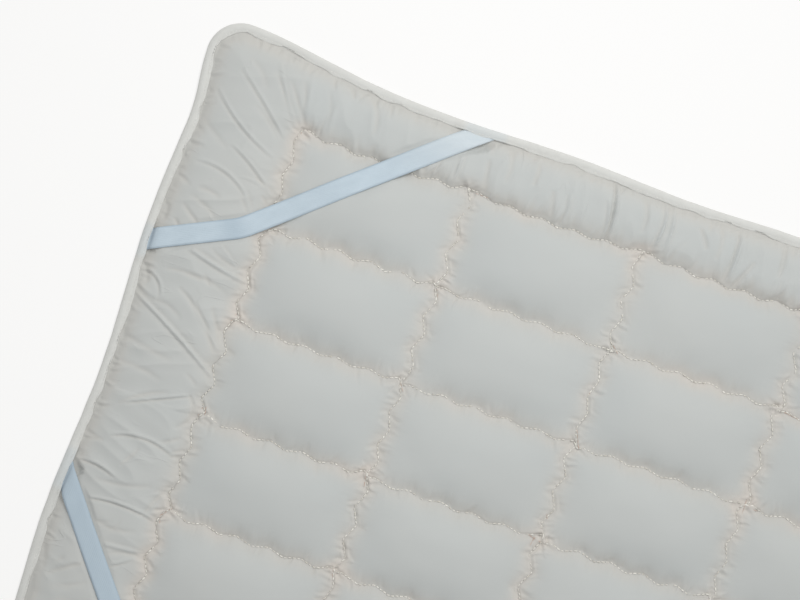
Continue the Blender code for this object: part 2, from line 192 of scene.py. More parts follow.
def puff(share: Array) -> Array:
    """The swell between two held lines: 0 at shares 0 and 1, and 1 half way."""
    return np.maximum(1.0 - np.abs(2 * share - 1.0) ** 2.3, 0.0) ** 0.98


class SoftNoise:
    """A repeatable field of soft, uneven values between -1 and 1."""

    SIZE = 64

    def __init__(self, seed: int) -> None:
        """Draw the field's values from this seed."""
        self.values = np.random.default_rng(seed).uniform(-1, 1, (self.SIZE, self.SIZE))

    def at(self, x: Number, y: Number, pitch_x: float, pitch_y: float) -> Array:
        """Read the field.

        Args:
            x: X of the points.
            y: Y of the points.
            pitch_x: distance between independent values along X.
            pitch_y: distance between independent values along Y.

        Returns:
            One value for each point.
        """
        across, along = np.asarray(x) / pitch_x, np.asarray(y) / pitch_y
        i, j = np.floor(across).astype(int), np.floor(along).astype(int)
        s, t = smooth(across - i), smooth(along - j)
        i0, i1 = i % self.SIZE, (i + 1) % self.SIZE
        j0, j1 = j % self.SIZE, (j + 1) % self.SIZE
        low = self.values[i0, j0] * (1 - s) + self.values[i1, j0] * s
        high = self.values[i0, j1] * (1 - s) + self.values[i1, j1] * s
        return low * (1 - t) + high * t


# Quilting seams

class Seams:
    """The sewn lines of the quilting, which wave and step a little at each crossing."""

    REACH = 0.030
    STEP = 0.005
    LONG_WAVE = 0.0026
    LONG_PERIOD = 0.187
    LONG_PEAK = 0.98
    SHORT_WAVE = 0.0042
    SHORT_PERIOD = 0.34
    SHORT_PEAK = 0.29
    HOLD = 0.016
    # Y shifts in millimetres where a long seam meets a short one: the crossing's column and
    # row, the end of the seam that comes from the left, and the start of the next one.
    KNOTS = (
        (1, 1, 1.8, 0.1), (1, 2, 3.0, -4.7), (1, 3, 6.1, -0.2), (1, 4, 5.3, 1.1),
        (2, 1, -3.6, -1.4), (2, 2, 1.9, -5.9), (2, 3, 5.4, -6.1), (3, 1, 2.6, -3.2),
        (3, 2, -1.8, -0.1), (3, 3, 4.9, -4.0), (0, 2, 0.0, 3.6), (0, 3, 0.0, 4.9),
        (0, 4, 0.0, 3.7),
    )

    def __init__(self, gauge: Gauge, seed: int) -> None:
        """Settle how the seams meet at each crossing.

        Args:
            gauge: the pad's sizes.
            seed: start of the random draws.
        """
        self.gauge = gauge
        draw = np.random.default_rng(seed)
        crossings = (gauge.columns + 1, gauge.rows + 1)
        self.long_end = draw.uniform(-1, 6, crossings) * MM
        self.long_start = draw.uniform(-6, 1, crossings) * MM
        self.short_end = draw.uniform(0, 4, crossings) * MM
        self.short_start = draw.uniform(-4, 0, crossings) * MM
        self.long_size = draw.uniform(0.8, 1.2, crossings)
        self.short_size = draw.uniform(0.75, 1.2, crossings)
        self.short_phase = draw.uniform(-0.05, 0.05, gauge.columns + 1)
        self.short_phase[1] -= 0.12
        for column, row, end, start in self.KNOTS:
            self.long_end[column, row] = end * MM
            self.long_start[column, row] = start * MM
        for row in (0, gauge.rows):
            self.long_end[:, row] = 0.0
            self.long_start[:, row] = 0.0

    @staticmethod
    def zigzag(share: Array) -> Array:
        """A wave with slightly pointed turns."""
        return 0.9 * np.cos(2 * np.pi * share) + 0.1 * np.cos(6 * np.pi * share)

    def arm(self, line: Array, cell: Array, place: Array, long: bool) -> Array:
        """Sideways shift of one seam within one cell.

        Args:
            line: number of the seam.
            cell: number of the cell along it.
            place: place along the seam, in cells.
            long: whether the seam runs along the pad.

        Returns:
            The shift in metres.
        """
        gauge = self.gauge
        last = (gauge.columns if long else gauge.rows) - 1
        cell = np.clip(cell, 0, last)
        share = place - cell
        if long:
            start, end = self.long_start[cell, line], self.long_end[cell + 1, line]
            size = self.LONG_WAVE * self.long_size[cell, line]
            wave = size * self.zigzag((share - self.LONG_PEAK) / self.LONG_PERIOD)
            length = gauge.cell_length
            side = np.where(line == 0, 1.0, 0.0) - np.where(line == gauge.rows, 1.0, 0.0)
            crossing = np.exp(-np.minimum(share, 1 - share) * length / self.HOLD)
            wave = wave + side * (0.0024 * crossing - 0.0030 * np.sin(np.pi * np.clip(share, 0, 1)))
        else:
            start, end = self.short_start[line, cell], self.short_end[line, cell + 1]
            size = self.SHORT_WAVE * self.short_size[line, cell]
            peak = self.SHORT_PEAK + self.short_phase[line]
            wave = size * self.zigzag((share - peak) / self.SHORT_PERIOD)
            length = gauge.cell_width
        held_start = start * np.exp(-np.abs(share) * length / self.HOLD)
        held_end = end * np.exp(-np.abs(1 - share) * length / self.HOLD)
        return wave + held_start + held_end

    def along(self, line: Array, place: Array, long: bool) -> Array:
        """Sideways shift of a seam, with a quick step at each crossing.

        Args:
            line: number of the seam.
            place: place along it, in cells.
            long: whether the seam runs along the pad.

        Returns:
            The shift in metres.
        """
        count = self.gauge.columns if long else self.gauge.rows
        length = self.gauge.cell_length if long else self.gauge.cell_width
        place = np.clip(place, 0.0, count)
        crossing = np.rint(place).astype(int)
        passed = smooth((place - crossing) * length / (2 * self.STEP) + 0.5)
        before = self.arm(line, crossing - 1, place, long)
        after = self.arm(line, crossing, place, long)
        return before * (1 - passed) + after * passed

    def straight(self, line: int, long: bool, count: int) -> tuple[Array, Array]:
        """Evenly spaced points of one seam on the straight plan.

        Args:
            line: number of the seam.
            long: whether it runs along the pad.
            count: number of points.

        Returns:
            X and Y of the points.
        """
        gauge = self.gauge
        if long:
            x = np.linspace(-gauge.frame_x, gauge.frame_x, count)
            return x, np.full_like(x, gauge.frame_y - line * gauge.cell_width)
        y = np.linspace(-gauge.frame_y, gauge.frame_y, count)
        return np.full_like(y, line * gauge.cell_length - gauge.frame_x), y

    def shift(self, x: Array, y: Array) -> tuple[Array, Array]:
        """How far the sewing draws points of the covers sideways.

        Args:
            x: X of the points on a straight plan.
            y: Y of the points on a straight plan.

        Returns:
            The shifts along X and along Y.
        """
        gauge = self.gauge
        columns, rows = gauge.cells(x, y)
        column = np.clip(np.rint(columns), 0, gauge.columns).astype(int)
        row = np.clip(np.rint(rows), 0, gauge.rows).astype(int)
        off_x = np.abs(columns - column) * gauge.cell_length
        off_y = np.abs(rows - row) * gauge.cell_width
        beyond_x = fade(np.abs(x) - gauge.frame_x, self.REACH)
        beyond_y = fade(np.abs(y) - gauge.frame_y, self.REACH)
        move_x = self.along(column, rows, False) * fade(off_x, self.REACH) * beyond_y
        move_y = self.along(row, columns, True) * fade(off_y, self.REACH) * beyond_x
        return move_x, move_y


# Folds in the covers

class FoldKind(Enum):
    """The section of a fold, from its right side to its left."""

    TROUGH = "trough"
    RIDGE = "ridge"
    TUCK = "tuck"


@dataclass(frozen=True)
class Fold:
    """One crease, pucker or gather in the upper cover, from one end to the other."""

    x1: float
    y1: float
    x2: float
    y2: float
    width: float
    depth: float
    kind: FoldKind = FoldKind.TROUGH
    bow: float = 0.0
    rooted: bool = False

    def relief(self, x: Array, y: Array) -> Array:
        """Height that the fold adds at these points.

        Args:
            x: X of the points.
            y: Y of the points.

        Returns:
            Heights in metres, 0 away from the fold.
        """
        run_x, run_y = self.x2 - self.x1, self.y2 - self.y1
        length = math.hypot(run_x, run_y)
        share = ((x - self.x1) * run_x + (y - self.y1) * run_y) / length**2
        kept = np.clip(share, 0.0, 1.0)
        off = ((y - self.y1) * run_x - (x - self.x1) * run_y) / length
        off = (off - self.bow * 4 * kept * (1 - kept)) / self.width
        past = (share - kept) * length / self.width
        if self.rooted:
            body = smooth(share / 0.15) * (1 - kept) ** 0.8
        else:
            body = np.sin(np.pi * np.clip((share + 0.05) / 1.1, 0.0, 1.0)) ** 0.55
        body = body * np.exp(-past * past)
        if self.kind is FoldKind.TROUGH:
            section = -np.exp(-off * off)
        elif self.kind is FoldKind.RIDGE:
            section = 1.35 * np.exp(-off * off * 1.3) - 0.6 * np.exp(-((off / 2.1) ** 2))
        else:
            section = np.exp(-((off - 0.75) ** 2) * 1.6) - np.exp(-((off + 0.75) ** 2) * 1.6)
        return self.depth * body * section


# The main creases of the left end and of the far side beside it, in millimetres: both ends,
# half width, depth and how far the crease bows to its left, and its kind.
T, R, K = FoldKind.TROUGH, FoldKind.RIDGE, FoldKind.TUCK
END_CREASES = (
    (-992, 117, -869, 51, 3.2, 4.0, 3, R), (-950, 189, -867, 171, 3.2, 3.8, -2, R),
    (-963, -135, -876, -135, 2.6, 2.4, 6, K), (-987, 146, -960, 122, 2.6, 1.8, 6, K),
    (-964, 155, -920, 156, 2.4, 1.5, 3, T), (-919, 164, -908, 152, 2.2, 1.2, 1, T),
    (-940, 138, -879, 80, 2.6, 2.6, 7, T), (-922, 131, -871, 83, 2.6, 1.6, -2, R),
    (-896, 130, -868, 92, 2.2, 2.0, -2, T), (-993, 151, -982, 131, 4.0, 3.0, 3, T),
    (-970, 114, -929, 105, 3.0, 1.2, 5, T), (-964, -17, -912, 16, 2.4, 1.6, 4, T),
    (-955, -11, -886, 21, 2.4, 2.0, 0, K), (-889, 23, -877, -4, 2.6, 2.2, 4, T),
    (-991, -60, -966, -64, 2.6, 1.8, -1, T), (-958, -54, -882, -54, 2.6, 2.4, 9, K),
    (-900, -43, -879, -30, 2.2, 1.6, -1, T), (-986, -95, -939, -100, 2.6, 2.2, 4, K),
    (-936, -83, -922, -59, 2.4, 1.6, -1, T), (-959, -110, -894, -97, 3.0, 1.4, -3, T),
    (-976, -237, -935, -208, 2.6, 1.8, 1, T), (-916, -190, -881, -182, 2.4, 1.6, 3, T),
    (-920, -208, -886, -188, 2.4, 1.5, -1, K), (-941, -157, -893, -154, 3.0, 1.3, -4, T),
    (-991, 30, -926, 27, 3.4, 1.2, 4, T), (-994, 67, -923, 54, 3.6, 1.3, -2, T),
    (-958, 410, -886, 350, 2.6, 2.6, 1, K), (-918, 433, -876, 368, 2.6, 2.4, -2, R),
    (-898, 416, -866, 373, 2.4, 2.4, 0, T), (-919, 420, -886, 381, 2.4, 1.8, 1, T),
    (-928, 375, -892, 347, 2.6, 2.0, 2, T), (-978, 378, -891, 323, 2.8, 2.4, -6, K),
    (-939, 320, -880, 282, 2.6, 2.4, 3, K), (-917, 288, -877, 279, 2.6, 1.8, 5, R),
    (-899, 293, -871, 282, 2.2, 1.8, 1, T), (-972, 290, -904, 268, 2.8, 2.4, 8, K),
    (-999, 272, -972, 259, 2.8, 2.2, 0, T), (-960, 259, -932, 256, 2.8, 1.5, 2, T),
    (-911, 266, -895, 248, 2.2, 1.7, 2, T), (-905, 275, -890, 254, 2.2, 1.3, 1, T),
    (-965, 248, -928, 231, 3.0, 1.3, 2, T), (-886, 276, -877, 267, 2.0, 2.2, 0, T),
    (-989, 229, -989, 208, 3.6, 2.4, 1, T), (-976, 215, -968, 207, 2.2, 1.8, 1, T),
    (-982, 339, -944, 315, 3.4, 1.4, -1, T), (-953, 426, -923, 398, 3.2, 1.3, 4, T),
    (-492, 436, -481, 366, 2.8, 3.0, 4, K), (-493, 411, -483, 361, 2.6, 2.4, 2, R),
    (-425, 431, -425, 373, 2.6, 2.8, 4, R), (-414, 429, -411, 377, 2.6, 1.8, 2, R),
    (-378, 416, -364, 394, 2.4, 1.8, 1, T), (-330, 427, -330, 366, 2.8, 2.4, 2, K),
    (-304, 399, -319, 362, 2.6, 2.0, 0, T), (-275, 434, -271, 393, 2.8, 2.0, 1, T),
    (-585, 423, -584, 397, 2.6, 1.6, 1, T), (-559, 398, -551, 367, 2.4, 1.8, 0, T),
    (-539, 402, -537, 366, 2.6, 1.9, 2, R), (-644, 408, -641, 375, 2.6, 1.6, 1, T),
    (-676, 409, -676, 373, 2.6, 1.7, 1, R), (-694, 389, -705, 364, 2.6, 1.6, 0, K),
    (-834, 440, -821, 422, 2.4, 1.5, 2, T), (-883, 422, -872, 380, 2.6, 2.0, 2, T),
    (-852, 421, -840, 380, 3.0, 1.3, 3, T), (-798, 430, -785, 389, 3.0, 1.2, 4, T),
    (-519, 440, -519, 425, 2.4, 1.8, 1, T), (-454, 430, -444, 388, 2.8, 1.6, 4, T),
    (-357, 431, -349, 388, 2.8, 1.4, 4, T), (-629, 439, -617, 390, 3.2, 1.2, 5, T),
)


class CreasedCover:
    """The points of the upper cover, to which folds are added one by one."""

    def __init__(self, x: Array, y: Array, z: Array) -> None:
        """Sort the points by X, so that each fold finds its own quickly."""
        self.order = np.argsort(x)
        self.x, self.y, self.z = x[self.order], y[self.order], z[self.order].copy()
        self.crease = np.zeros(len(x))

    def press(self, fold: Fold) -> None:
        """Add one fold."""
        margin = 3.2 * fold.width + abs(fold.bow)
        low, high = min(fold.x1, fold.x2) - margin, max(fold.x1, fold.x2) + margin
        first, last = np.searchsorted(self.x, (low, high))
        y = self.y[first:last]
        near = (y > min(fold.y1, fold.y2) - margin) & (y < max(fold.y1, fold.y2) + margin)
        where = np.nonzero(near)[0] + first
        if len(where):
            added = fold.relief(self.x[where], self.y[where])
            self.z[where] += added
            self.crease[where] -= added

    def heights(self) -> tuple[Array, Array]:
        """The heights and the crease depths in the order of the given points."""
        z, crease = np.empty_like(self.z), np.empty_like(self.crease)
        z[self.order], crease[self.order] = self.z, self.crease
        return z, crease


@dataclass
class Puckers:
    """Rows of small folds that the sewing pulls into the covers."""

    gauge: Gauge
    seams: Seams
    seed: int = 11
    made: list[Fold] = field(default_factory=list)
    # Shares of the creases' depths that are used: in general, in the far corner, and beside it
    # along the far side. Then where the corner and the side start, in millimetres.
    CREASE_DEPTH = 0.85
    CORNER_DEPTH = 0.55
    SIDE_DEPTH = 1.35
    CLEAR = 0.0008
    CORNER_X = -850
    CORNER_Y = 260
    SIDE_Y = 360

    def row(self, points: Array, out: Array, gap: float, reach: tuple[float, float],
            depth: tuple[float, float], width: tuple[float, float], lean: float) -> None:
        """Add a row of puckers that start on a line and run away from it.

        Args:
            points: closely spaced points of the line.
            out: the direction away from it at each point.
            gap: mean distance between puckers.
            reach: shortest and longest pucker.
            depth: shallowest and deepest pucker.
            width: narrowest and widest half width.
            lean: largest lean along the line, as a share of the length.
        """
        draw = np.random.default_rng(self.seed + len(self.made))
        steps = np.linalg.norm(np.diff(points, axis=0), axis=1)
        along = np.concatenate([[0.0], np.cumsum(steps)])
        place = draw.uniform(0, gap)
        while place < along[-1]:
            index = min(int(np.searchsorted(along, place)), len(points) - 1)
            start, away = points[index], out[index]
            length = draw.uniform(*reach) * draw.uniform(0.6, 1.0)
            side = np.array((-away[1], away[0])) * draw.uniform(-lean, lean) * length
            end = start + away * length + side
            kind = (FoldKind.TROUGH, FoldKind.TUCK, FoldKind.TUCK, FoldKind.RIDGE)[draw.integers(4)]
            fold = Fold(*start, *end, draw.uniform(*width), draw.uniform(*depth), kind,
                        draw.uniform(-0.12, 0.12) * length, True)
            self.made.append(fold)
            place += gap * draw.uniform(0.35, 1.65)

    def seam(self, line: int, long: bool, side: int) -> tuple[Array, Array]:
        """Points just beside a seam and the direction away from it.

        Args:
            line: number of the seam.
            long: whether it runs along the pad.
            side: 1 or -1 for the side of it.

        Returns:
            The points and the directions.
        """
        x, y = self.seams.straight(line, long, 1200 if long else 600)
        out = np.tile((0.0, float(side)) if long else (float(side), 0.0), (len(x), 1))
        move_x, move_y = self.seams.shift(x, y)
        return np.stack([x + move_x, y + move_y], axis=1) + out * self.CLEAR, out

    def along_seams(self) -> None:
        """Add the puckers on both sides of every seam."""
        gauge = self.gauge
        for line in range(gauge.rows + 1):
            for side in (-1, 1):
                points, out = self.seam(line, True, side)
                at_border = (line == 0 and side > 0) or (line == gauge.rows and side < 0)
                if at_border:
                    self.row(points, out, 0.013, (0.014, 0.042), (0.0007, 0.0022),
                             (0.0022, 0.0040), 0.35)
                else:
                    self.row(points, out, 0.017, (0.008, 0.024), (0.0004, 0.0013),
                             (0.0018, 0.0030), 0.55)
        for line in range(gauge.columns + 1):
            for side in (-1, 1):
                points, out = self.seam(line, False, side)
                self.row(points, out, 0.011, (0.009, 0.026), (0.0005, 0.0017),
                         (0.0019, 0.0030), 0.6)

    def main_creases(self) -> None:
        """Add the main creases of the far left corner, and uneven copies at the other three."""
        draw = np.random.default_rng(self.seed)
        for flip_x, flip_y in ((1, 1), (-1, 1), (1, -1), (-1, -1)):
            for x1, y1, x2, y2, width, depth, bow, kind in END_CREASES:
                ends = np.array(((x1, y1), (x2, y2))) * MM
                if (flip_x, flip_y) != (1, 1):
                    ends = ends * (flip_x, flip_y) + draw.uniform(-0.006, 0.006, (2, 2))
                    depth = depth * draw.uniform(0.5, 1.1)
                if flip_x * flip_y < 0:
                    ends = ends[::-1]
                if flip_y < 0 and x1 < -900 and abs(y1) < 150:
                    continue
                spread = 1.0 if kind is FoldKind.TROUGH else 0.8
                calm = y1 > self.CORNER_Y and x1 < self.CORNER_X
                share = self.CORNER_DEPTH if calm else self.CREASE_DEPTH
                if y1 > self.SIDE_Y and not calm:
                    share = self.SIDE_DEPTH
                self.made.append(Fold(*ends[0], *ends[1], spread * width * MM,
                                      share * depth * MM, kind, bow * MM))

    def bunches(self) -> None:
        """Add the short deep folds round each crossing of two seams."""
        gauge = self.gauge
        draw = np.random.default_rng(self.seed + 1)
        for column in range(gauge.columns + 1):
            for row in range(gauge.rows + 1):
                x = np.array([column * gauge.cell_length - gauge.frame_x])
                y = np.array([gauge.frame_y - row * gauge.cell_width])
                move_x, move_y = self.seams.shift(x, y)
                place = np.array((float(x[0] + move_x[0]), float(y[0] + move_y[0])))
                for quarter in range(4):
                    for _ in range(2):
                        angle = math.pi / 2 * (quarter + 0.5) + draw.uniform(-0.65, 0.65)
                        away = np.array((math.cos(angle), math.sin(angle)))
                        start = place + away * draw.uniform(0.0015, 0.004)
                        end = start + away * draw.uniform(0.008, 0.024)
                        kind = (FoldKind.TROUGH, FoldKind.TUCK)[draw.integers(2)]
                        self.made.append(Fold(*start, *end, draw.uniform(0.0019, 0.0030),
                                              draw.uniform(0.0006, 0.0014), kind,
                                              draw.uniform(-0.001, 0.001), True))

    def along_edge(self, outline: "Outline") -> None:
        """Add the gathers that run in from the binding."""
        points = outline.points - outline.normals * (GAUGE.rim_band - 0.001)
        self.row(points, -outline.normals, 0.013, (0.010, 0.026), (0.0005, 0.0019),
                 (0.0019, 0.0032), 0.5)


class Outline:
    """The finished edge as closely spaced points, anticlockwise, with outward normals."""

    def __init__(self, gauge: Gauge, step: float) -> None:
        """Walk round the pad.

        Args:
            gauge: the pad's sizes.
            step: distance between points.
        """
        points: list[Array] = []
        corners = ((1, 1), (-1, 1), (-1, -1), (1, -1))
        for quarter, (sign_x, sign_y) in enumerate(corners):
            count = math.ceil(gauge.corner_radius * math.pi / 2 / step * 1.4)
            angles = np.pi / 2 * (quarter + np.arange(count) / count)
            points.append(np.stack([
                sign_x * gauge.corner_x + gauge.corner_radius * np.cos(angles),
                sign_y * gauge.corner_y + gauge.corner_radius * np.sin(angles),
            ], axis=1))
            reach = gauge.corner_x if quarter % 2 == 0 else gauge.corner_y
            run = np.linspace(1, -1, math.ceil(2 * reach / step) + 1)[:-1] * reach
            if quarter == 0:
                points.append(np.stack([run, gauge.edge_y(run, 1)], axis=1))
            elif quarter == 1:
                points.append(np.stack([gauge.edge_x(-1, run), run], axis=1))
            elif quarter == 2:
                points.append(np.stack([-run, gauge.edge_y(-run, -1)], axis=1))
            else:
                points.append(np.stack([gauge.edge_x(1, -run), -run], axis=1))
        self.points = np.concatenate(points)
        ahead = np.roll(self.points, -1, axis=0) - np.roll(self.points, 1, axis=0)
        normals = np.stack([ahead[:, 1], -ahead[:, 0]], axis=1)
        self.normals = normals / np.linalg.norm(normals, axis=1, keepdims=True)
        gaps = np.linalg.norm(np.roll(self.points, -1, axis=0) - self.points, axis=1)
        self.along = np.concatenate([[0.0], np.cumsum(gaps)[:-1]])
        self.length = float(gaps.sum())


# Shaders

class Value:
    """A shader socket that adds Math nodes when it is used in an expression."""

    def __init__(self, shader: "Shader", socket: Any) -> None:
        """Wrap one output socket of a shader."""
        self.shader = shader
        self.socket = socket

    def math(self, operation: str, *others: Any, swapped: bool = False) -> "Value":
        """Join this value with others by one Math node.

        Args:
            operation: name of the Math operation.
            others: the other inputs.
            swapped: whether this value comes second.

        Returns:
            The result.
        """
        inputs = (*others, self) if swapped else (self, *others)
        return self.shader.node("ShaderNodeMath", {"operation": operation}, dict(enumerate(inputs)))

    def __add__(self, other: Any) -> "Value":
        """This plus other."""
        return self.math("ADD", other)

    def __sub__(self, other: Any) -> "Value":
        """This minus other."""
        return self.math("SUBTRACT", other)

    def __rsub__(self, other: Any) -> "Value":
        """Other minus this."""
        return self.math("SUBTRACT", other, swapped=True)

    def __mul__(self, other: Any) -> "Value":
        """This times other."""
        return self.math("MULTIPLY", other)


class Shader:
    """One node material built on a Principled shader."""

    def __init__(self, name: str, **constants: Any) -> None:
        """Start a material.

        Args:
            name: name of the material.
            constants: values for the shader's sockets, with spaces written as underscores.
        """
        self.material = bpy.data.materials.new(name)
        self.material.use_nodes = True
        self.tree = self.material.node_tree
        self.base = self.tree.nodes["Principled BSDF"]
        for key, value in constants.items():
            self.base.inputs[key.replace("_", " ")].default_value = value

    def feed(self, socket: Any, value: Any) -> None:
        """Link a value to an input socket, or set it there."""
        if isinstance(value, Value):
            self.tree.links.new(value.socket, socket)
        else:
            socket.default_value = value

    def node(self, kind: str, settings: dict[str, Any], inputs: dict[Any, Any],
             output: Any = 0) -> Value:
        """Add one node.

        Args:
            kind: the node's type.
            settings: its properties, set first.
            inputs: values or links for its sockets, by name or number.
            output: name or number of the wanted output.

        Returns:
            The wanted output.
        """
        made = self.tree.nodes.new(kind)
        for key, value in settings.items():
            setattr(made, key, value)
        for key, value in inputs.items():
            self.feed(made.inputs[key], value)
        return Value(self, made.outputs[output])

    def drive(self, name: str, value: Value) -> None:
        """Feed one of the main shader's sockets."""
        self.feed(self.base.inputs[name], value)

    def attribute(self, name: str) -> Value:
        """A value that is stored on the mesh."""
        return self.node("ShaderNodeAttribute", {"attribute_name": name}, {}, "Fac")

    def place(self) -> Value:
        """The object's own coordinates."""
        return self.node("ShaderNodeTexCoord", {}, {}, "Object")

    def stretch(self, vector: Value, scale: tuple[float, float, float]) -> Value:
        """Scale a vector."""
        return self.node("ShaderNodeMapping", {}, {"Vector": vector, "Scale": scale})

    def noise(self, vector: Value, scale: float, detail: float = 2.0) -> Value:
        """Noise from 0 to 1."""
        inputs = {"Vector": vector, "Scale": scale, "Detail": detail}
        return self.node("ShaderNodeTexNoise", {}, inputs, "Fac")

    def split(self, vector: Value, axis: str) -> Value:
        """One part of a vector."""
        return self.node("ShaderNodeSeparateXYZ", {}, {"Vector": vector}, axis)

    def blend(self, share: Any, first: Any, second: Any) -> Value:
        """Mix two colours."""
        settings = {"data_type": "RGBA", "clamp_factor": True}
        return self.node("ShaderNodeMix", settings, {0: share, 6: first, 7: second}, 2)

    def ribs(self, value: Value, pitch: float) -> Value:
        """A wave from -1 to 1 that repeats along a value."""
        return (value * (2 * math.pi / pitch)).math("SINE")

    def bump(self, height: Value, distance: float) -> None:
        """Raise the surface by a height from 0 to 1."""
        inputs = {"Strength": 1.0, "Distance": distance, "Height": height}
        self.drive("Normal", self.node("ShaderNodeBump", {}, inputs))


@dataclass(frozen=True)
class CoverCloth:
    """Fine smooth cotton, cool on the crowns and warmer by the seams, with painted shade in the
    hollows by the seams and creases and over the end borders, and a painted shadow line beside the
    seams.
    """

    crown: Colour = (0.562, 0.570, 0.548, 1.0)
    cool: Colour = (0.516, 0.540, 0.532, 1.0)
    # Darker colour painted as shade in the hollows by the seams and creases and over the end
    # borders.
    hollow_shade: Colour = (0.562, 0.549, 0.513, 1.0)
    warm: Colour = (0.665, 0.605, 0.545, 1.0)
    # Dark colour painted as a shadow line beside the seams, on the side towards the light.
    seam_shadow: Colour = (0.33, 0.30, 0.27, 1.0)
    thread_pitch: float = 0.0007
    crinkle: float = 0.0009

    def shader(self) -> Shader:
        """Build the material."""
        made = Shader("cover_fabric", Roughness=0.82, Sheen_Weight=0.25, Sheen_Roughness=0.45,
                      Specular_IOR_Level=0.25)
        place = made.place()
        painted_shade = made.attribute("painted_shade")
        warmth = made.attribute("warmth")
        mottle = made.noise(place, 14.0, 3.0)
        tone = made.blend(made.noise(place, 6.0, 2.0), self.cool, self.crown)
        # Painted shade: darker by the seams, the edge and in the creases, and over the end borders.
        tone = made.blend(painted_shade * (mottle * 0.7 + 0.45), tone, self.hollow_shade)
        tone = made.blend(warmth * (mottle * 0.8 + 0.2), tone, self.warm)
        # Painted shadow: a thin dark line beside the seams.
        tone = made.blend(made.attribute("seam_shadow"), tone, self.seam_shadow)
        made.drive("Base Color", tone)
        along = made.noise(made.stretch(place, (170.0, 38.0, 40.0)), 1.0, 3.0)
        across = made.noise(made.stretch(place, (38.0, 170.0, 40.0)), 1.0, 3.0)
        pulled = along * made.attribute("pull_long") + across * made.attribute("pull_short")
        soft = made.noise(place, 26.0, 3.0) * 0.25
        weave = (made.ribs(made.split(place, "X"), self.thread_pitch)
                 * made.ribs(made.split(place, "Y"), self.thread_pitch)) * 0.03
        shown = ((made.noise(place, 27.0, 1.0) - 0.5) * 7.0).math("MINIMUM", 1.0)
        shown = shown.math("MAXIMUM", 0.0) * 0.38
        ends = self.crease(made, place, (10.0, 31.0, 20.0)) * made.attribute("at_end")
        sides = self.crease(made, place, (36.0, 9.0, 20.0)) * made.attribute("at_side")
        made.bump(pulled + soft + weave + (ends + sides) * shown, self.crinkle)
        return made

    @staticmethod
    def crease(made: Shader, place: Value, scale: tuple[float, float, float]) -> Value:
        """Thin ridges along the level lines of a stretched noise.

        Args:
            made: the material.
            place: the object's coordinates.
            scale: how finely the noise repeats along each axis.

        Returns:
            1 on a ridge and 0 away from it.
        """
        level = made.noise(made.stretch(place, scale), 1.0, 2.0)
        off = (level - 0.5).math("ABSOLUTE") * 55.0
        return (1.0 - off).math("MAXIMUM", 0.0)


@dataclass(frozen=True)
class BindingTape:
    """Plain woven tape, paler than the covers, with a hint of the elastic beneath it."""

    cloth: Colour = (0.71, 0.71, 0.68, 1.0)
    shaded: Colour = (0.60, 0.595, 0.56, 1.0)
    elastic: Colour = (0.55, 0.64, 0.70, 1.0)
    thread_pitch: float = 0.0009
    grain: float = 0.0004

    def shader(self) -> Shader:
        """Build the material."""
        made = Shader("binding_tape", Roughness=0.8, Sheen_Weight=0.2, Sheen_Roughness=0.5,
                      Specular_IOR_Level=0.25)
        place = made.place()
        patch = made.noise(place, 60.0, 3.0)
        tone = made.blend(patch * 0.7, self.cloth, self.shaded)
        tone = made.blend(made.attribute("over_strap") * 0.25, tone, self.elastic)
        made.drive("Base Color", tone)
        weave = (made.ribs(made.split(place, "X") + made.split(place, "Y"), self.thread_pitch)
                 * made.ribs(made.split(place, "X") - made.split(place, "Y"), self.thread_pitch))
        made.bump(weave * 0.1 + made.noise(place, 160.0, 2.0), self.grain)
        return made


@dataclass(frozen=True)
class Elastic:
    """Flat woven elastic with fine ribs across it and firmer, darker edges, with painted shade at
    the bend, over the near straps and where the end turns under, and a painted highlight towards
    the side end.
    """

    blue: Colour = (0.485, 0.575, 0.640, 1.0)
    pale: Colour = (0.580, 0.672, 0.735, 1.0)
    # Colour of the firm edges, also used as painted shade at the bend and over the near straps.
    edge: Colour = (0.43, 0.52, 0.59, 1.0)
    # Paler colour painted as a highlight towards the strap's side end.
    end_highlight: Colour = (0.68, 0.73, 0.75, 1.0)
    # Dark colour painted as shade where the strap's end turns under the binding.
    turn_shade: Colour = (0.27, 0.33, 0.39, 1.0)
    rib: float = 0.0011
    strand: float = 0.0021
    grain: float = 0.00012

    def shader(self) -> Shader:
        """Build the material."""
        made = Shader("strap_elastic", Roughness=0.62, Sheen_Weight=0.15, Sheen_Roughness=0.4,
                      Specular_IOR_Level=0.3)
        lie = made.node("ShaderNodeUVMap", {"uv_map": "lie"}, {})
        along, across = made.split(lie, "X"), made.split(lie, "Y")
        patch = made.noise(made.stretch(lie, (40.0, 90.0, 1.0)), 1.0, 3.0)
        tone = made.blend(patch, self.blue, self.pale)
        # Darker firm edges, with painted shade at the bend and over the near straps.
        tone = made.blend(made.attribute("edge_and_shade"), tone, self.edge)
        # Painted highlight, paler towards the side end.
        tone = made.blend(made.attribute("end_highlight") * (patch * 0.5 + 0.45), tone, self.end_highlight)
        # Painted shade where the end turns under the binding.
        tone = made.blend(made.attribute("turn_shade"), tone, self.turn_shade)
        made.drive("Base Color", tone)
        ribs = made.ribs(along, self.rib) * 0.5 + made.ribs(across, self.strand) * 0.35
        made.bump(ribs, self.grain)
        return made


@dataclass(frozen=True)
class Thread:
    """Twisted sewing thread."""

    name: str
    light: Colour = (0.95, 0.93, 0.86, 1.0)
    dark: Colour = (0.66, 0.63, 0.56, 1.0)
    twist: float = 0.0006
    grain: float = 0.00003

    def shader(self) -> Shader:
        """Build the material."""
        made = Shader(self.name, Roughness=0.6, Sheen_Weight=0.2, Specular_IOR_Level=0.35)
        place = made.place()
        patch = (made.noise(place, 170.0, 1.0) - 0.5) * 2.4 + 0.5
        made.drive("Base Color", made.blend(patch, self.light, self.dark))
        twist = made.ribs(made.split(place, "X") + made.split(place, "Y"), self.twist)
        made.bump(twist, self.grain)
        return made


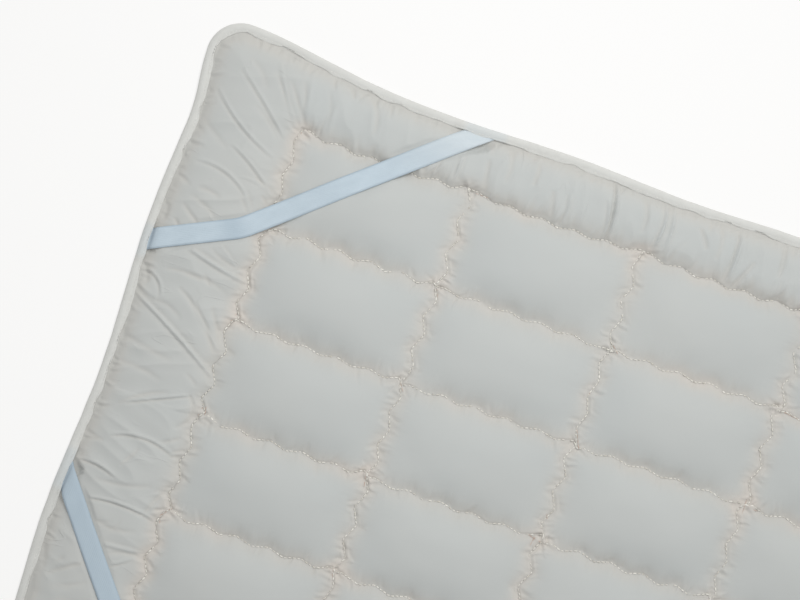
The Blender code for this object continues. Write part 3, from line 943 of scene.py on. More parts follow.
# Mesh helpers

def make_object(name: str, points: Array, faces: list[tuple[int, ...]], shader: Shader) -> Any:
    """Put a closed mesh into the scene, smooth and facing outwards.

    Args:
        name: name of the object.
        points: its vertices.
        faces: its faces.
        shader: its finish.

    Returns:
        The object.
    """
    mesh = bpy.data.meshes.new(name)
    mesh.from_pydata(points.tolist(), [], faces)
    shape = bmesh.new()
    shape.from_mesh(mesh)
    bmesh.ops.recalc_face_normals(shape, faces=shape.faces)
    shape.to_mesh(mesh)
    shape.free()
    mesh.materials.append(shader.material)
    mesh.shade_smooth()
    made = bpy.data.objects.new(name, mesh)
    bpy.context.scene.collection.objects.link(made)
    return made


def store(piece: Any, name: str, values: Array) -> None:
    """Keep one value a vertex on a mesh, for its shader."""
    kept = piece.data.attributes.new(name, "FLOAT", "POINT")
    kept.data.foreach_set("value", np.asarray(values, dtype=np.float32))


def strip(first: Array, second: Array, closed: bool = True) -> list[tuple[int, ...]]:
    """Quads between two rows of vertex numbers."""
    count = len(first) if closed else len(first) - 1
    ahead = (np.arange(count) + 1) % len(first)
    quads = np.stack([first[:count], first[ahead], second[ahead], second[:count]], axis=1)
    return [tuple(quad) for quad in quads.tolist()]


def around(number: Array) -> Array:
    """Vertex numbers anticlockwise round a block of the grid."""
    return np.concatenate([
        number[:-1, 0], number[-1, :-1], number[:0:-1, -1], number[0, :0:-1],
    ])


def grid_quads(number: Array) -> Array:
    """Vertex numbers of the quads between the points of a grid."""
    return np.stack([number[:-1, :-1], number[1:, :-1], number[1:, 1:], number[:-1, 1:]], axis=-1)


def renumbering(count: int, used: Array) -> Array:
    """New numbers for the used ones of this many vertices, and -1 for the others."""
    renumber = np.full(count, -1)
    renumber[used] = np.arange(len(used))
    return renumber


def inside_loop(points: Array, loop: Array) -> Array:
    """Whether points lie inside a closed line, by counting crossings."""
    ahead = np.roll(loop, -1, axis=0)
    x, y = points[:, 0][:, None], points[:, 1][:, None]
    spans = (loop[:, 1] > y) != (ahead[:, 1] > y)
    rise = ahead[:, 1] - loop[:, 1]
    rise = np.where(rise == 0, 1.0, rise)
    at = loop[:, 0] + (y - loop[:, 1]) * (ahead[:, 0] - loop[:, 0]) / rise
    return (spans & (x < at)).sum(axis=1) % 2 == 1


# Quilted body

def graded(start: float, stop: float, count: int, crowd: float) -> Array:
    """Places from start to stop, closer together at both ends.

    Args:
        start: first place.
        stop: last place, which is left out.
        count: number of intervals.
        crowd: 0 for even, towards 1 for very close ends.

    Returns:
        The places, without the last.
    """
    share = np.arange(count) / count
    return start + (stop - start) * (share - crowd * np.sin(2 * np.pi * share) / (2 * np.pi))


@dataclass
class FlatPatch:
    """A flat mesh of one piece of the upper cover, before it is sewn down and filled.

    The loops are vertex numbers, the outer line first. The tucked points lie a little under
    the next piece.
    """

    name: str
    points: Array
    faces: list[tuple[int, ...]]
    loops: list[Array]
    tucked: Array
    span: tuple[float, float]
    ring: bool = False


@dataclass
class QuiltedBody:
    """The two covers and the filling between them, as quilted halves and a padded border."""

    gauge: Gauge
    seams: Seams
    fine_columns: int = 4
    fine_rows: int = 5
    left_steps: int = 74
    far_steps: int = 44
    plain_steps: int = 16
    thin_step: int = 4
    tuck: float = 0.0005
    valley: float = 0.0026
    fullness: float = 0.86
    border_fullness: float = 0.74
    rim_lap: float = 0.0015
    border_blend: float = 0.02
    shade_off: float = 0.0014
    shade_width: float = 0.0009
    lip_off: float = 0.0042
    lip_width: float = 0.0016
    lip_height: float = 0.0007
    free_height: float = 0.008
    wide_waves: float = 0.0010
    small_waves: float = 0.0005
    end_slack: float = 0.0022
    side_slack: float = 0.0020

    def stations(self, cells: range, pitch: float, half: float, coarse: tuple[int, ...],
                 counts: tuple[int, int], crowd: float) -> Array:
        """Places that divide a run of cells along one axis.

        Args:
            cells: numbers of the cells.
            pitch: length of a cell.
            half: half the length of the stitched frame.
            coarse: numbers of the cells that are divided coarsely.
            counts: number of intervals in a fine and in a coarse cell.
            crowd: how much closer they lie at the seams.

        Returns:
            The places.
        """
        parts = []
        for cell in cells:
            start = cell * pitch - half
            parts.append(graded(start, start + pitch, counts[cell in coarse], crowd))
        return np.concatenate([*parts, [cells[-1] * pitch + pitch - half]])

    def half(self, name: str, columns: range, counts: tuple[int, int], rows: tuple[int, int],
             margins: tuple[int, int]) -> FlatPatch:
        """Divide one half of the quilting, finely by the seams and coarsely on the crowns.

        Args:
            name: name of the piece.
            columns: its columns of cells.
            counts: number of intervals along a fine and a coarse column.
            rows: number of intervals across a fine and a coarse row.
            margins: intervals beside a seam that stay fine, along X and along Y.

        Returns:
            The flat piece.
        """
        gauge = self.gauge
        coarse_rows = tuple(range(gauge.rows - self.fine_rows))
        xs = self.stations(columns, gauge.cell_length, gauge.frame_x, (), counts, 0.3)
        ys = self.stations(range(gauge.rows), gauge.cell_width, gauge.frame_y, coarse_rows,
                           rows, 0.3)
        x, y = np.meshgrid(xs, ys, indexing="ij")
        number = np.arange(x.size).reshape(x.shape)
        mask = np.ones((len(xs) - 1, len(ys) - 1), bool)
        flat = np.stack([x.ravel(), y.ravel()], axis=1)
        faces: list[tuple[int, ...]] = []
        first_y = 0
        for row in range(gauge.rows):
            steps = rows[row in coarse_rows]
            margin_x = margins[0]
            margin_y = margins[1] if row not in coarse_rows else 3
            for column in range(len(columns)):
                i0 = column * counts[0] + margin_x
                i1 = i0 + (counts[0] - 2 * margin_x) // self.thin_step * self.thin_step
                j0 = first_y + margin_y
                j1 = j0 + (steps - 2 * margin_y) // self.thin_step * self.thin_step
                mask[i0:i1, j0:j1] = False
                faces += self.crown(number[i0:i1 + 1, j0:j1 + 1], flat)
            first_y += steps
        faces += [tuple(quad) for quad in grid_quads(number)[mask].tolist()]
        loop = around(number)
        tucked = number[0] if columns[0] > 0 else number[0, :0]
        flat[tucked, 0] -= self.tuck
        used = np.unique(np.concatenate([np.array(face) for face in faces]))
        renumber = renumbering(len(flat), used)
        faces = [tuple(renumber[list(face)].tolist()) for face in faces]
        return FlatPatch(name, flat[used], faces, [renumber[loop]], renumber[tucked],
                         (xs[0], xs[-1]))

    def crown(self, number: Array, flat: Array) -> list[tuple[int, ...]]:
        """Faces of the coarse middle of a cell, joined to the fine points round it.

        Args:
            number: vertex numbers of the fine points on and inside its edge.
            flat: places of all the points.

        Returns:
            The faces.
        """
        step = self.thin_step
        thin = number[step:-1:step, step:-1:step]
        faces = [tuple(quad) for quad in grid_quads(thin).reshape(-1, 4).tolist()]
        fine, inner = around(number), around(thin)
        off = np.linalg.norm(flat[fine][:, None] - flat[inner][None], axis=2)
        near = inner[off.argmin(axis=1)]
        for start, end, first, last in zip(fine, np.roll(fine, -1), near, np.roll(near, -1)):
            faces.append((int(start), int(end), int(first)))
            if first != last:
                faces.append((int(end), int(last), int(first)))
        return faces

    def rim(self, sign_x: int, sign_y: int, share: Array, along_end: bool) -> Array:
        """Points of the covers' own edge from beside the frame's corner to the arc's middle.

        Args:
            sign_x: 1 for the right end, -1 for the left end.
            sign_y: 1 for the far side, -1 for the near side.
            share: how far along, from 0 to 1.
            along_end: whether they run along the end, or else along the side.

        Returns:
            The points.
        """
        gauge = self.gauge
        inset = gauge.rim_inset
        straight = gauge.corner_y - gauge.frame_y if along_end else gauge.corner_x - gauge.frame_x
        arc = gauge.corner_radius * np.pi / 4
        done = share * (straight + arc)
        on_side = np.minimum(done, straight)
        turn = np.maximum(done - straight, 0.0) / gauge.corner_radius
        radius = gauge.corner_radius - inset
        if along_end:
            y = sign_y * (gauge.frame_y + on_side)
            x = gauge.edge_x(sign_x, y) - sign_x * inset
            arc_x = sign_x * (gauge.corner_x + radius * np.cos(turn))
            arc_y = sign_y * (gauge.corner_y + radius * np.sin(turn))
        else:
            x = sign_x * (gauge.frame_x + on_side)
            y = gauge.edge_y(x, sign_y) - sign_y * inset
            arc_x = sign_x * (gauge.corner_x + radius * np.sin(turn))
            arc_y = sign_y * (gauge.corner_y + radius * np.cos(turn))
        on_arc = done > straight
        return np.stack([np.where(on_arc, arc_x, x), np.where(on_arc, arc_y, y)], axis=-1)

    def corner(self, sign_x: int, sign_y: int, s: Array, t: Array) -> Array:
        """Points of a corner of the border, stretched between its four edges.

        Args:
            sign_x: 1 for the right end, -1 for the left end.
            sign_y: 1 for the far side, -1 for the near side.
            s: shares outwards along X.
            t: shares outwards along Y.

        Returns:
            The points.
        """
        frame_corner = np.array((sign_x * self.gauge.frame_x, sign_y * self.gauge.frame_y))
        end = self.rim(sign_x, sign_y, t, True)
        side = self.rim(sign_x, sign_y, s, False)
        end_0 = self.rim(sign_x, sign_y, np.zeros_like(t), True)
        side_0 = self.rim(sign_x, sign_y, np.zeros_like(s), False)
        middle = self.rim(sign_x, sign_y, np.ones_like(t), True)
        s, t = s[..., None], t[..., None]
        low = frame_corner + (end_0 - frame_corner) * s
        near = frame_corner + (side_0 - frame_corner) * t
        flat = (frame_corner * (1 - s) * (1 - t) + end_0 * s * (1 - t)
                + side_0 * (1 - s) * t + middle * s * t)
        return low * (1 - t) + side * t + near * (1 - s) + end * s - flat

    def border(self, name: str, counts: tuple[int, int], rows: tuple[int, int]) -> FlatPatch:
        """Divide the border round the quilting.

        Args:
            name: name of the piece.
            counts: number of intervals along a fine and a coarse column.
            rows: number of intervals across a fine and a coarse row.

        Returns:
            The flat piece, which ends on the covers' own edge.
        """
        gauge = self.gauge
        coarse = tuple(range(self.fine_columns, gauge.columns))
        coarse_rows = tuple(range(gauge.rows - self.fine_rows))
        xs = self.stations(range(gauge.columns), gauge.cell_length, gauge.frame_x, coarse,
                           counts, 0.1)
        ys = self.stations(range(gauge.rows), gauge.cell_width, gauge.frame_y, coarse_rows,
                           rows, 0.1)
        left = -np.arange(self.left_steps, 0, -1) / self.left_steps
        near = -np.arange(self.plain_steps, 0, -1) / self.plain_steps
        right = np.arange(1, self.plain_steps + 1) / self.plain_steps
        far = np.arange(1, self.far_steps + 1) / self.far_steps
        s, t = np.meshgrid(np.concatenate([left, xs * 0, right]),
                           np.concatenate([near, ys * 0, far]), indexing="ij")
        x, y = np.meshgrid(
            np.concatenate([left * 0 - gauge.frame_x, xs, right * 0 + gauge.frame_x]),
            np.concatenate([near * 0 - gauge.frame_y, ys, far * 0 + gauge.frame_y]), indexing="ij")
        for sign in (-1, 1):
            beside = (s * sign > 0) & (t == 0)
            edge = gauge.edge_x(sign, y[beside]) - sign * gauge.rim_inset
            x[beside] += (edge - x[beside]) * np.abs(s[beside])
            beside = (t * sign > 0) & (s == 0)
            edge = gauge.edge_y(x[beside], sign) - sign * gauge.rim_inset
            y[beside] += (edge - y[beside]) * np.abs(t[beside])
            for sign_y in (-1, 1):
                beside = (s * sign > 0) & (t * sign_y > 0)
                found = self.corner(sign, sign_y, np.abs(s[beside]), np.abs(t[beside]))
                x[beside], y[beside] = found[:, 0], found[:, 1]
        block = (slice(len(left), len(left) + len(xs)), slice(len(near), len(near) + len(ys)))
        number = np.arange(x.size).reshape(x.shape)
        frame_loop, outer_loop = around(number[block]), around(number)
        mask = np.ones((x.shape[0] - 1, x.shape[1] - 1), bool)
        mask[block[0].start:block[0].stop - 1, block[1].start:block[1].stop - 1] = False
        quads = grid_quads(number)[mask]
        flat = np.stack([x.ravel(), y.ravel()], axis=1)
        limits = (gauge.frame_x - self.tuck, gauge.frame_y - self.tuck)
        flat[frame_loop] = np.clip(flat[frame_loop], -np.array(limits), limits)
        used = np.unique(quads)
        renumber = renumbering(len(flat), used)
        faces = [tuple(quad) for quad in renumber[quads].tolist()]
        loops = [renumber[outer_loop], renumber[frame_loop]]
        return FlatPatch(name, flat[used], faces, loops, loops[1],
                         (-gauge.frame_x, gauge.frame_x), True)

    def rounded(self, distance: Array) -> Array:
        """A distance from a seam, eased so that the cover leaves the seam level."""
        return np.hypot(distance, self.valley) - self.valley

    def top(self, x: Array, y: Array) -> Array:
        """Height of the upper cover over points of the straight plan."""
        gauge = self.gauge
        columns, rows = gauge.cells(x, y)
        column = np.clip(np.floor(columns), 0, gauge.columns - 1)
        row = np.clip(np.floor(rows), 0, gauge.rows - 1)
        share_x, share_y = np.clip(columns - column, 0, 1), np.clip(rows - row, 0, 1)
        share_x = self.rounded(np.minimum(share_x, 1 - share_x) * gauge.cell_length)
        share_y = self.rounded(np.minimum(share_y, 1 - share_y) * gauge.cell_width)
        full_x = puff(share_x / (gauge.cell_length - 2 * self.valley))
        full_y = puff(share_y / (gauge.cell_width - 2 * self.valley))
        crown = gauge.cell_crown + gauge.crown_unevenness * np.sin(2.4 * column + 1.7 * row)
        centre = gauge.stitch_top + self.fullness * crown * full_x * full_y
        over_x, over_y = np.abs(x) - gauge.frame_x, np.abs(y) - gauge.frame_y
        inner = self.rounded(np.hypot(np.maximum(over_x, 0), np.maximum(over_y, 0)))
        outer = self.rounded(gauge.inside(x, y, gauge.rim_band - self.rim_lap))
        share = inner / (inner + outer + 1e-9)
        fall = (gauge.rim_top - gauge.stitch_top) * share
        swell = np.maximum(1.0 - np.abs(2 * share - 1.0) ** 3.0, 0.0) ** 0.85
        border = gauge.stitch_top + fall + self.border_fullness * gauge.border_crown * swell
        return np.where((over_x <= 1e-9) & (over_y <= 1e-9), centre, border)

    def seam_distance(self, x: Array, y: Array) -> tuple[Array, Array]:
        """Distance to the nearest long seam and to the nearest short one."""
        gauge = self.gauge
        columns, rows = gauge.cells(x, y)
        column = np.clip(np.rint(columns), 0, gauge.columns)
        row = np.clip(np.rint(rows), 0, gauge.rows)
        beyond_x = np.maximum(np.abs(x) - gauge.frame_x, 0)
        beyond_y = np.maximum(np.abs(y) - gauge.frame_y, 0)
        to_long = np.hypot((rows - row) * gauge.cell_width, beyond_x)
        to_short = np.hypot((columns - column) * gauge.cell_length, beyond_y)
        return to_long, to_short

    def on_border(self, x: Array, y: Array) -> tuple[Array, Array]:
        """How far points lie on the border of an end and on that of a side, from 0 to 1."""
        at_end = smooth((np.abs(x) - self.gauge.frame_x) / self.border_blend)
        at_side = smooth((np.abs(y) - self.gauge.frame_y) / self.border_blend) * (1 - at_end)
        return at_end, at_side

    def beside(self, place: Array, half: float, pitch: float) -> Array:
        """Shade along one side of the seams that repeat along one axis.

        Args:
            place: X or Y of the points.
            half: half the length of the stitched frame along that axis.
            pitch: distance between the seams.

        Returns:
            1 in the middle of the shade and 0 away from it.
        """
        cells = (place + half) / pitch
        off = (cells - np.rint(cells)) * pitch
        return np.exp(-(((off - self.shade_off) / self.shade_width) ** 2))

    def tones(self, x: Array, y: Array, crease: Array) -> dict[str, Array]:
        """Values for the cloth's shader over points of the straight plan, with painted shade in the
        hollows and creases and a painted shadow line beside the seams.

        Args:
            x: X of the points.
            y: Y of the points.
            crease: depth of the folds there.

        Returns:
            One array for each stored value.
        """
        gauge = self.gauge
        to_long, to_short = self.seam_distance(x, y)
        to_edge = gauge.inside(x, y, gauge.rim_band)
        nearest = np.minimum(np.minimum(to_long, to_short), to_edge)
        patchy = SoftNoise(5).at(x, y, 0.045, 0.045)
        # Painted shade in the hollows by the seams and the edge, and in the creases.
        hollow_shade = np.exp(-((nearest / 0.012) ** 2)) + np.clip(crease / 0.0025, 0, 0.5)
        crossing = np.exp(-((np.hypot(to_long, to_short) / 0.016) ** 2))
        channel = (np.exp(-((to_short / 0.011) ** 2)) * 0.55
                   + np.exp(-((to_long / 0.010) ** 2)) * 0.35)
        warmth = channel * np.clip(0.6 + patchy, 0, 1.4) + crossing * 0.5
        at_end, at_side = self.on_border(x, y)
        # Painted shadow: thin dark lines on the light's side of the seams, in random stretches,
        # stronger at the crossings.
        shadow_long = self.beside(y, gauge.frame_y, gauge.cell_width)
        shadow_short = self.beside(x, gauge.frame_x, gauge.cell_length)
        held = SoftNoise(9)
        seam_shadow = (shadow_long * (to_short > 0.002) * np.clip(1.6 * held.at(x, y, 0.028, 0.4) - 0.1, 0, 1)
                + shadow_short * (to_long > 0.002) * np.clip(1.6 * held.at(x, y, 0.4, 0.022), 0, 1))
        in_frame = (np.abs(x) < gauge.frame_x + 0.003) & (np.abs(y) < gauge.frame_y + 0.003)
        return {
            # Painted shadow line beside the seams.
            "seam_shadow": np.clip(seam_shadow * in_frame * (0.35 + 0.45 * crossing), 0, 1),
            "at_end": at_end,
            "at_side": at_side,
            # Painted shade in the hollows and creases, and over the end borders.
            "painted_shade": np.clip(hollow_shade + 0.25 * at_end, 0, 1),
            "warmth": np.clip(warmth, 0, 1),
            "pull_long": np.exp(-to_long / 0.016) + 0.6 * np.exp(-to_edge / 0.014),
            "pull_short": np.exp(-to_short / 0.016),
        }

    def drape(self, patch: FlatPatch, folds: list[Fold],
              straps: list["CornerStrap"]) -> tuple[Array, dict[str, Array]]:
        """Give a flat piece its seams, its filling, its folds and the press of the straps.

        Args:
            patch: the flat piece.
            folds: every fold of the upper cover.
            straps: the straps that press into it.

        Returns:
            The points, and the values for the cloth's shader.
        """
        gauge = self.gauge
        flat_x, flat_y = patch.points[:, 0], patch.points[:, 1]
        move_x, move_y = self.seams.shift(flat_x, flat_y)
        x, y = flat_x + move_x, flat_y + move_y
        z = self.top(flat_x, flat_y)
        to_long, to_short = self.seam_distance(flat_x, flat_y)
        noise = SoftNoise(3)
        lip = np.exp(-(((to_short - self.lip_off) / self.lip_width) ** 2)) * (to_long > 0.003)
        z = z + self.lip_height * lip * np.clip(0.6 + noise.at(x, y, 0.009, 0.013), 0, 1.5)
        free = smooth((z - gauge.stitch_top) / self.free_height)
        z = z + free * (self.wide_waves * noise.at(x, y, 0.055, 0.045)
                        + self.small_waves * noise.at(y, x, 0.02, 0.024))
        at_end, at_side = self.on_border(flat_x, flat_y)
        slant = np.sign(flat_x) * np.sign(flat_y) * 0.35
        end_waves = np.abs(noise.at(x - y * slant, y + x * slant, 0.07, 0.019)) ** 0.7
        side_waves = np.abs(noise.at(x + 0.2 * y, y, 0.016, 0.06)) ** 0.7
        z = z - free * at_end * self.end_slack * end_waves
        z = z - free * at_side * self.side_slack * side_waves
        cover = CreasedCover(x, y, z)
        for fold in folds:
            cover.press(fold)
        z, crease = cover.heights()
        inside = gauge.inside(flat_x, flat_y, gauge.rim_band)
        outside = (np.abs(flat_x) > gauge.frame_x) | (np.abs(flat_y) > gauge.frame_y)
        z = np.where((inside < 1e-6) & outside, np.minimum(z, gauge.rim_top), z)
        z = np.maximum(z, gauge.rim_top)
        for strap in straps:
            z = strap.press_into(x, y, z)
        z[patch.tucked] = gauge.stitch_top - 0.0003
        return np.stack([x, y, z], axis=1), self.tones(flat_x, flat_y, crease)

    def build(self, shader: Shader, folds: list[Fold], straps: list["CornerStrap"]) -> list[Any]:
        """Make the two quilted halves and the padded border.

        Args:
            shader: the cloth's finish.
            folds: every fold of the upper cover.
            straps: the straps that press into it.

        Returns:
            The three pieces.
        """
        columns = self.gauge.columns
        patches = (
            self.half("quilted_left", range(self.fine_columns), counts=(124, 124),
                      rows=(70, 26), margins=(10, 11)),
            self.half("quilted_right", range(self.fine_columns, columns), counts=(64, 64),
                      rows=(38, 26), margins=(8, 7)),
            self.border("padded_border", counts=(118, 26), rows=(72, 20)),
        )
        made = []
        for patch in patches:
            points, tones = self.drape(patch, folds, straps)
            made.append(self.close(patch, points, tones, shader))
        return made

    def under_points(self) -> tuple[Array, Array]:
        """The straight plan of the under cover: points inside the edge, and their heights."""
        gauge = self.gauge
        xs, ys = [], []
        for cell in range(gauge.columns):
            start = cell * gauge.cell_length - gauge.frame_x
            xs.append(graded(start, start + gauge.cell_length, 20, 0.3))
        for row in range(gauge.rows):
            start = row * gauge.cell_width - gauge.frame_y
            ys.append(graded(start, start + gauge.cell_width, 12, 0.3))
        end = np.arange(1, 11) * 0.0125
        side = np.arange(1, 7) * 0.0125
        xs = np.concatenate([-gauge.frame_x - end[::-1], *xs, [gauge.frame_x], gauge.frame_x + end])
        ys = np.concatenate([-gauge.frame_y - side[::-1], *ys, [gauge.frame_y],
                             gauge.frame_y + side])
        x, y = (part.ravel() for part in np.meshgrid(xs, ys, indexing="ij"))
        kept = gauge.inside(x, y, gauge.rim_inset) > 0.008
        x, y = x[kept], y[kept]
        to_long, to_short = self.seam_distance(x, y)
        held = np.maximum(1 - to_long / 0.012, 1 - to_short / 0.012)
        z = gauge.stitch_under * smooth(held)
        move_x, move_y = self.seams.shift(x, y)
        return np.stack([x + move_x, y + move_y, z], axis=1), np.stack([x, y], axis=1)

    def close(self, patch: FlatPatch, upper: Array, tones: dict[str, Array],
              shader: Shader) -> Any:
        """Close one piece of the upper cover with its part of the under cover.

        Args:
            patch: the flat piece.
            upper: its points as they lie.
            tones: values for the shader at these points.
            shader: the cloth's finish.

        Returns:
            The piece.
        """
        gauge = self.gauge
        inner, plan = self.under_points()
        clear = 0.003
        in_x = (plan[:, 0] > patch.span[0] + clear) & (plan[:, 0] < patch.span[1] - clear)
        in_frame = in_x & (np.abs(plan[:, 1]) < gauge.frame_y - clear)
        beyond = np.maximum(np.abs(plan[:, 0]) - gauge.frame_x, np.abs(plan[:, 1]) - gauge.frame_y)
        inner = inner[beyond > clear if patch.ring else in_frame]
        rims = [upper[loop] * (1, 1, 0) for loop in patch.loops]
        for index, rim in enumerate(rims):
            rim[:, 2] = gauge.rim_under if patch.ring and index == 0 else gauge.stitch_under
        points = np.concatenate([*rims, inner])
        edges, start = [], 0
        for rim in rims:
            edges += [(start + i, start + (i + 1) % len(rim)) for i in range(len(rim))]
            start += len(rim)
        found = delaunay_2d_cdt([Vector(point[:2]) for point in points], edges, [], 0, 1e-7)
        triangles = np.array(found[2])
        spot = np.array([tuple(place) for place in found[0]])
        source = np.array([item[0] if item else -1 for item in found[3]])
        middle = spot[triangles].mean(axis=1)
        where = np.nonzero((source[triangles] < start).all(axis=1))[0]
        good = inside_loop(middle[where], rims[0][:, :2])
        if patch.ring:
            good &= ~inside_loop(middle[where], rims[1][:, :2])
        kept = np.ones(len(triangles), bool)
        kept[where] = good
        triangles = source[triangles[kept]]
        start = len(upper)
        faces = patch.faces + [tuple(face) for face in (triangles + start).tolist()]
        for loop, rim in zip(patch.loops, rims):
            faces += strip(loop, np.arange(start, start + len(rim)))
            start += len(rim)
        made = make_object(patch.name, np.concatenate([upper, points]), faces, shader)
        for key, values in tones.items():
            store(made, key, np.concatenate([values, np.zeros(len(points))]))
        return made


# Straps

@dataclass
class CornerStrap:
    """A flat elastic strap across one corner, with its ends under the binding."""

    name: str
    sign_x: int
    sign_y: int
    along_end: float
    along_side: float
    knee_x: float
    knee_y: float
    gauge: Gauge = GAUGE
    width: float = 0.025
    thickness: float = 0.0012
    lanes: int = 9
    steps: int = 96
    end_inset: float = 0.005
    exit_inset: float = 0.0123
    bend_share: float = 0.09
    loop: float = 0.0034
    sink: float = 0.0022
    clearance: float = 0.0004
    # Painted shade over the whole strap, used to darken the near straps.
    strap_shade: float = 0.0
    rim_lift: float = 0.0003
    pulls: int = 90
    sink_reach: float = 0.03
    press_margin: float = 0.03
    press_gap: float = 0.0018
    slope_reach: float = 0.010
    slope_height: float = 0.009
    plan: Array = field(init=False, repr=False)
    z: Array = field(init=False, repr=False)
    # Share of painted shade where the strap's end turns under the binding.
    fold: Array = field(init=False, repr=False)
    knee_along: float = field(init=False)
    length: float = field(init=False)

    @property
    def under(self) -> str:
        """The quilted half that the strap lies on."""
        return "quilted_left" if self.sign_x < 0 else "quilted_right"

    def under_edge(self, start: Array, run: Array, axis: int, inset: float) -> Array:
        """The point of a lane that lies this far inside the finished edge.

        Args:
            start: a point of the lane near the edge.
            run: the lane's direction.
            axis: 0 where it meets an end, 1 where it meets a side.
            inset: distance inside the edge.

        Returns:
            The point.
        """
        point = start
        for _ in range(4):
            sign = math.copysign(1, point[axis])
            gauge = self.gauge
            edge = gauge.edge_x(sign, point[1]) if axis == 0 else gauge.edge_y(point[0], sign)
            point = start + run * ((edge - sign * inset - start[axis]) / run[axis])
        return point

    def lane(self, shift: float) -> Array:
        """One lane of the strap in plan, as evenly spaced points.

        Args:
            shift: how far the lane lies to the left of the middle.

        Returns:
            The points from the end of the pad to its side.
        """
        gauge = self.gauge
        flip = np.array((self.sign_x, self.sign_y), float)
        corner = flip * (gauge.frame_x, gauge.frame_y)
        end_y = corner[1] - flip[1] * self.along_end
        side_x = corner[0] - flip[0] * self.along_side
        end = np.array((gauge.edge_x(flip[0], end_y), end_y))
        side = np.array((side_x, gauge.edge_y(side_x, flip[1])))
        knee = corner - flip * (self.knee_x, self.knee_y)
        first = (knee - end) / np.linalg.norm(knee - end)
        second = (side - knee) / np.linalg.norm(side - knee)
        across_1, across_2 = np.array((-first[1], first[0])), np.array((-second[1], second[0]))
        mitre = (across_1 + across_2) / (1 + across_1 @ across_2)
        start = self.under_edge(end + across_1 * shift, first, 0, self.end_inset)
        stop = self.under_edge(side + across_2 * shift, second, 1, self.end_inset)
        knee = knee + mitre * shift
        reach = self.bend_share * min(np.linalg.norm(knee - start), np.linalg.norm(stop - knee))
        enter, leave = knee - first * reach, knee + second * reach
        share = np.linspace(0, 1, 24)[:, None]
        bend = (1 - share) ** 2 * enter + 2 * share * (1 - share) * knee + share**2 * leave
        rough = np.concatenate([[start], bend, [stop]])
        along = np.concatenate([[0], np.cumsum(np.linalg.norm(np.diff(rough, axis=0), axis=1))])
        even = np.linspace(0, along[-1], self.steps + 1)
        return np.stack([np.interp(even, along, rough[:, i]) for i in (0, 1)], axis=1)

    def lay(self, body: QuiltedBody) -> None:
        """Work out where the strap lies on the covers, pulled straight between the crowns."""
        gauge = self.gauge
        shifts = (np.arange(self.lanes) / (self.lanes - 1) - 0.5) * self.width
        self.plan = np.array([self.lane(shift) for shift in shifts])
        x, y = self.plan[..., 0], self.plan[..., 1]
        held = gauge.rim_top + self.rim_lift
        rest = body.top(x, y)
        rest = 0.5 * rest + 0.5 * rest.max(axis=0, keepdims=True)
        under = gauge.inside(x, y, self.exit_inset) <= 0
        rest = np.where(under, held, rest)
        z = rest.copy()
        for _ in range(self.pulls):
            z[:, 1:-1] = np.maximum(z[:, 1:-1], (z[:, :-2] + z[:, 2:]) / 2)
            z = np.where(under, held, z)
        depth = gauge.inside(x, y, self.exit_inset)
        z = z - self.sink * smooth(depth / self.sink_reach)
        at_end = np.arange(self.steps + 1) < self.steps / 2
        turn = smooth((depth - 0.0008) / 0.0035) * (1 - smooth((depth - 0.006) / 0.022))
        loop = self.loop * turn * at_end
        for _ in range(3):
            z[:, 1:-1] = (z[:, :-2] + 2 * z[:, 1:-1] + z[:, 2:]) / 4
            z = np.where(under, held, z)
        self.z = np.maximum(z, held) + loop
        # Painted shade where the strap's end turns down under the binding.
        self.fold = fade(np.abs(depth - 0.0004), 0.0028) * (depth > 0) * at_end
        middle = self.plan[self.lanes // 2]
        corner = np.array((self.sign_x * gauge.frame_x, self.sign_y * gauge.frame_y))
        knee = corner - np.array((self.sign_x * self.knee_x, self.sign_y * self.knee_y))
        nearest = int(np.linalg.norm(middle - knee, axis=1).argmin())
        gaps = np.linalg.norm(np.diff(middle, axis=0), axis=1)
        self.knee_along = float(gaps[:nearest].sum())
        rise = np.diff(self.z[self.lanes // 2])
        self.length = float(np.hypot(gaps, rise).sum())

    def press_into(self, x: Array, y: Array, z: Array) -> Array:
        """Push the cover down under the strap.

        Args:
            x: X of the cover's points.
            y: Y of the cover's points.
            z: their heights.

        Returns:
            The new heights.
        """
        low = self.plan.reshape(-1, 2).min(axis=0) - self.press_margin
        high = self.plan.reshape(-1, 2).max(axis=0) + self.press_margin
        near = (x > low[0]) & (x < high[0]) & (y > low[1]) & (y < high[1])
        points = np.stack([x[near], y[near]], axis=1)
        middle = self.plan[self.lanes // 2]
        nearest = np.full(len(points), np.inf)
        step = np.zeros(len(points), int)
        for index, spot in enumerate(middle):
            off = ((points - spot) ** 2).sum(axis=1)
            closer = off < nearest
            nearest[closer], step[closer] = off[closer], index
        ahead = middle[np.minimum(step + 1, self.steps)] - middle[np.maximum(step - 1, 0)]
        ahead = ahead / np.linalg.norm(ahead, axis=1, keepdims=True)
        away = points - middle[step]
        side = ahead[:, 0] * away[:, 1] - ahead[:, 1] * away[:, 0]
        lane = np.clip((side / self.width + 0.5) * (self.lanes - 1), 0, self.lanes - 1)
        low_lane = np.minimum(lane.astype(int), self.lanes - 2)
        part = lane - low_lane
        level = self.z[low_lane, step] * (1 - part) + self.z[low_lane + 1, step] * part
        past = np.maximum(np.sqrt(nearest) - self.width / 2 - self.press_gap, 0.0)
        allowed = level - self.clearance + (past / self.slope_reach) ** 1.5 * self.slope_height
        pressed = z.copy()
        pressed[near] = np.minimum(z[near], np.maximum(allowed, self.gauge.rim_top))
        return pressed

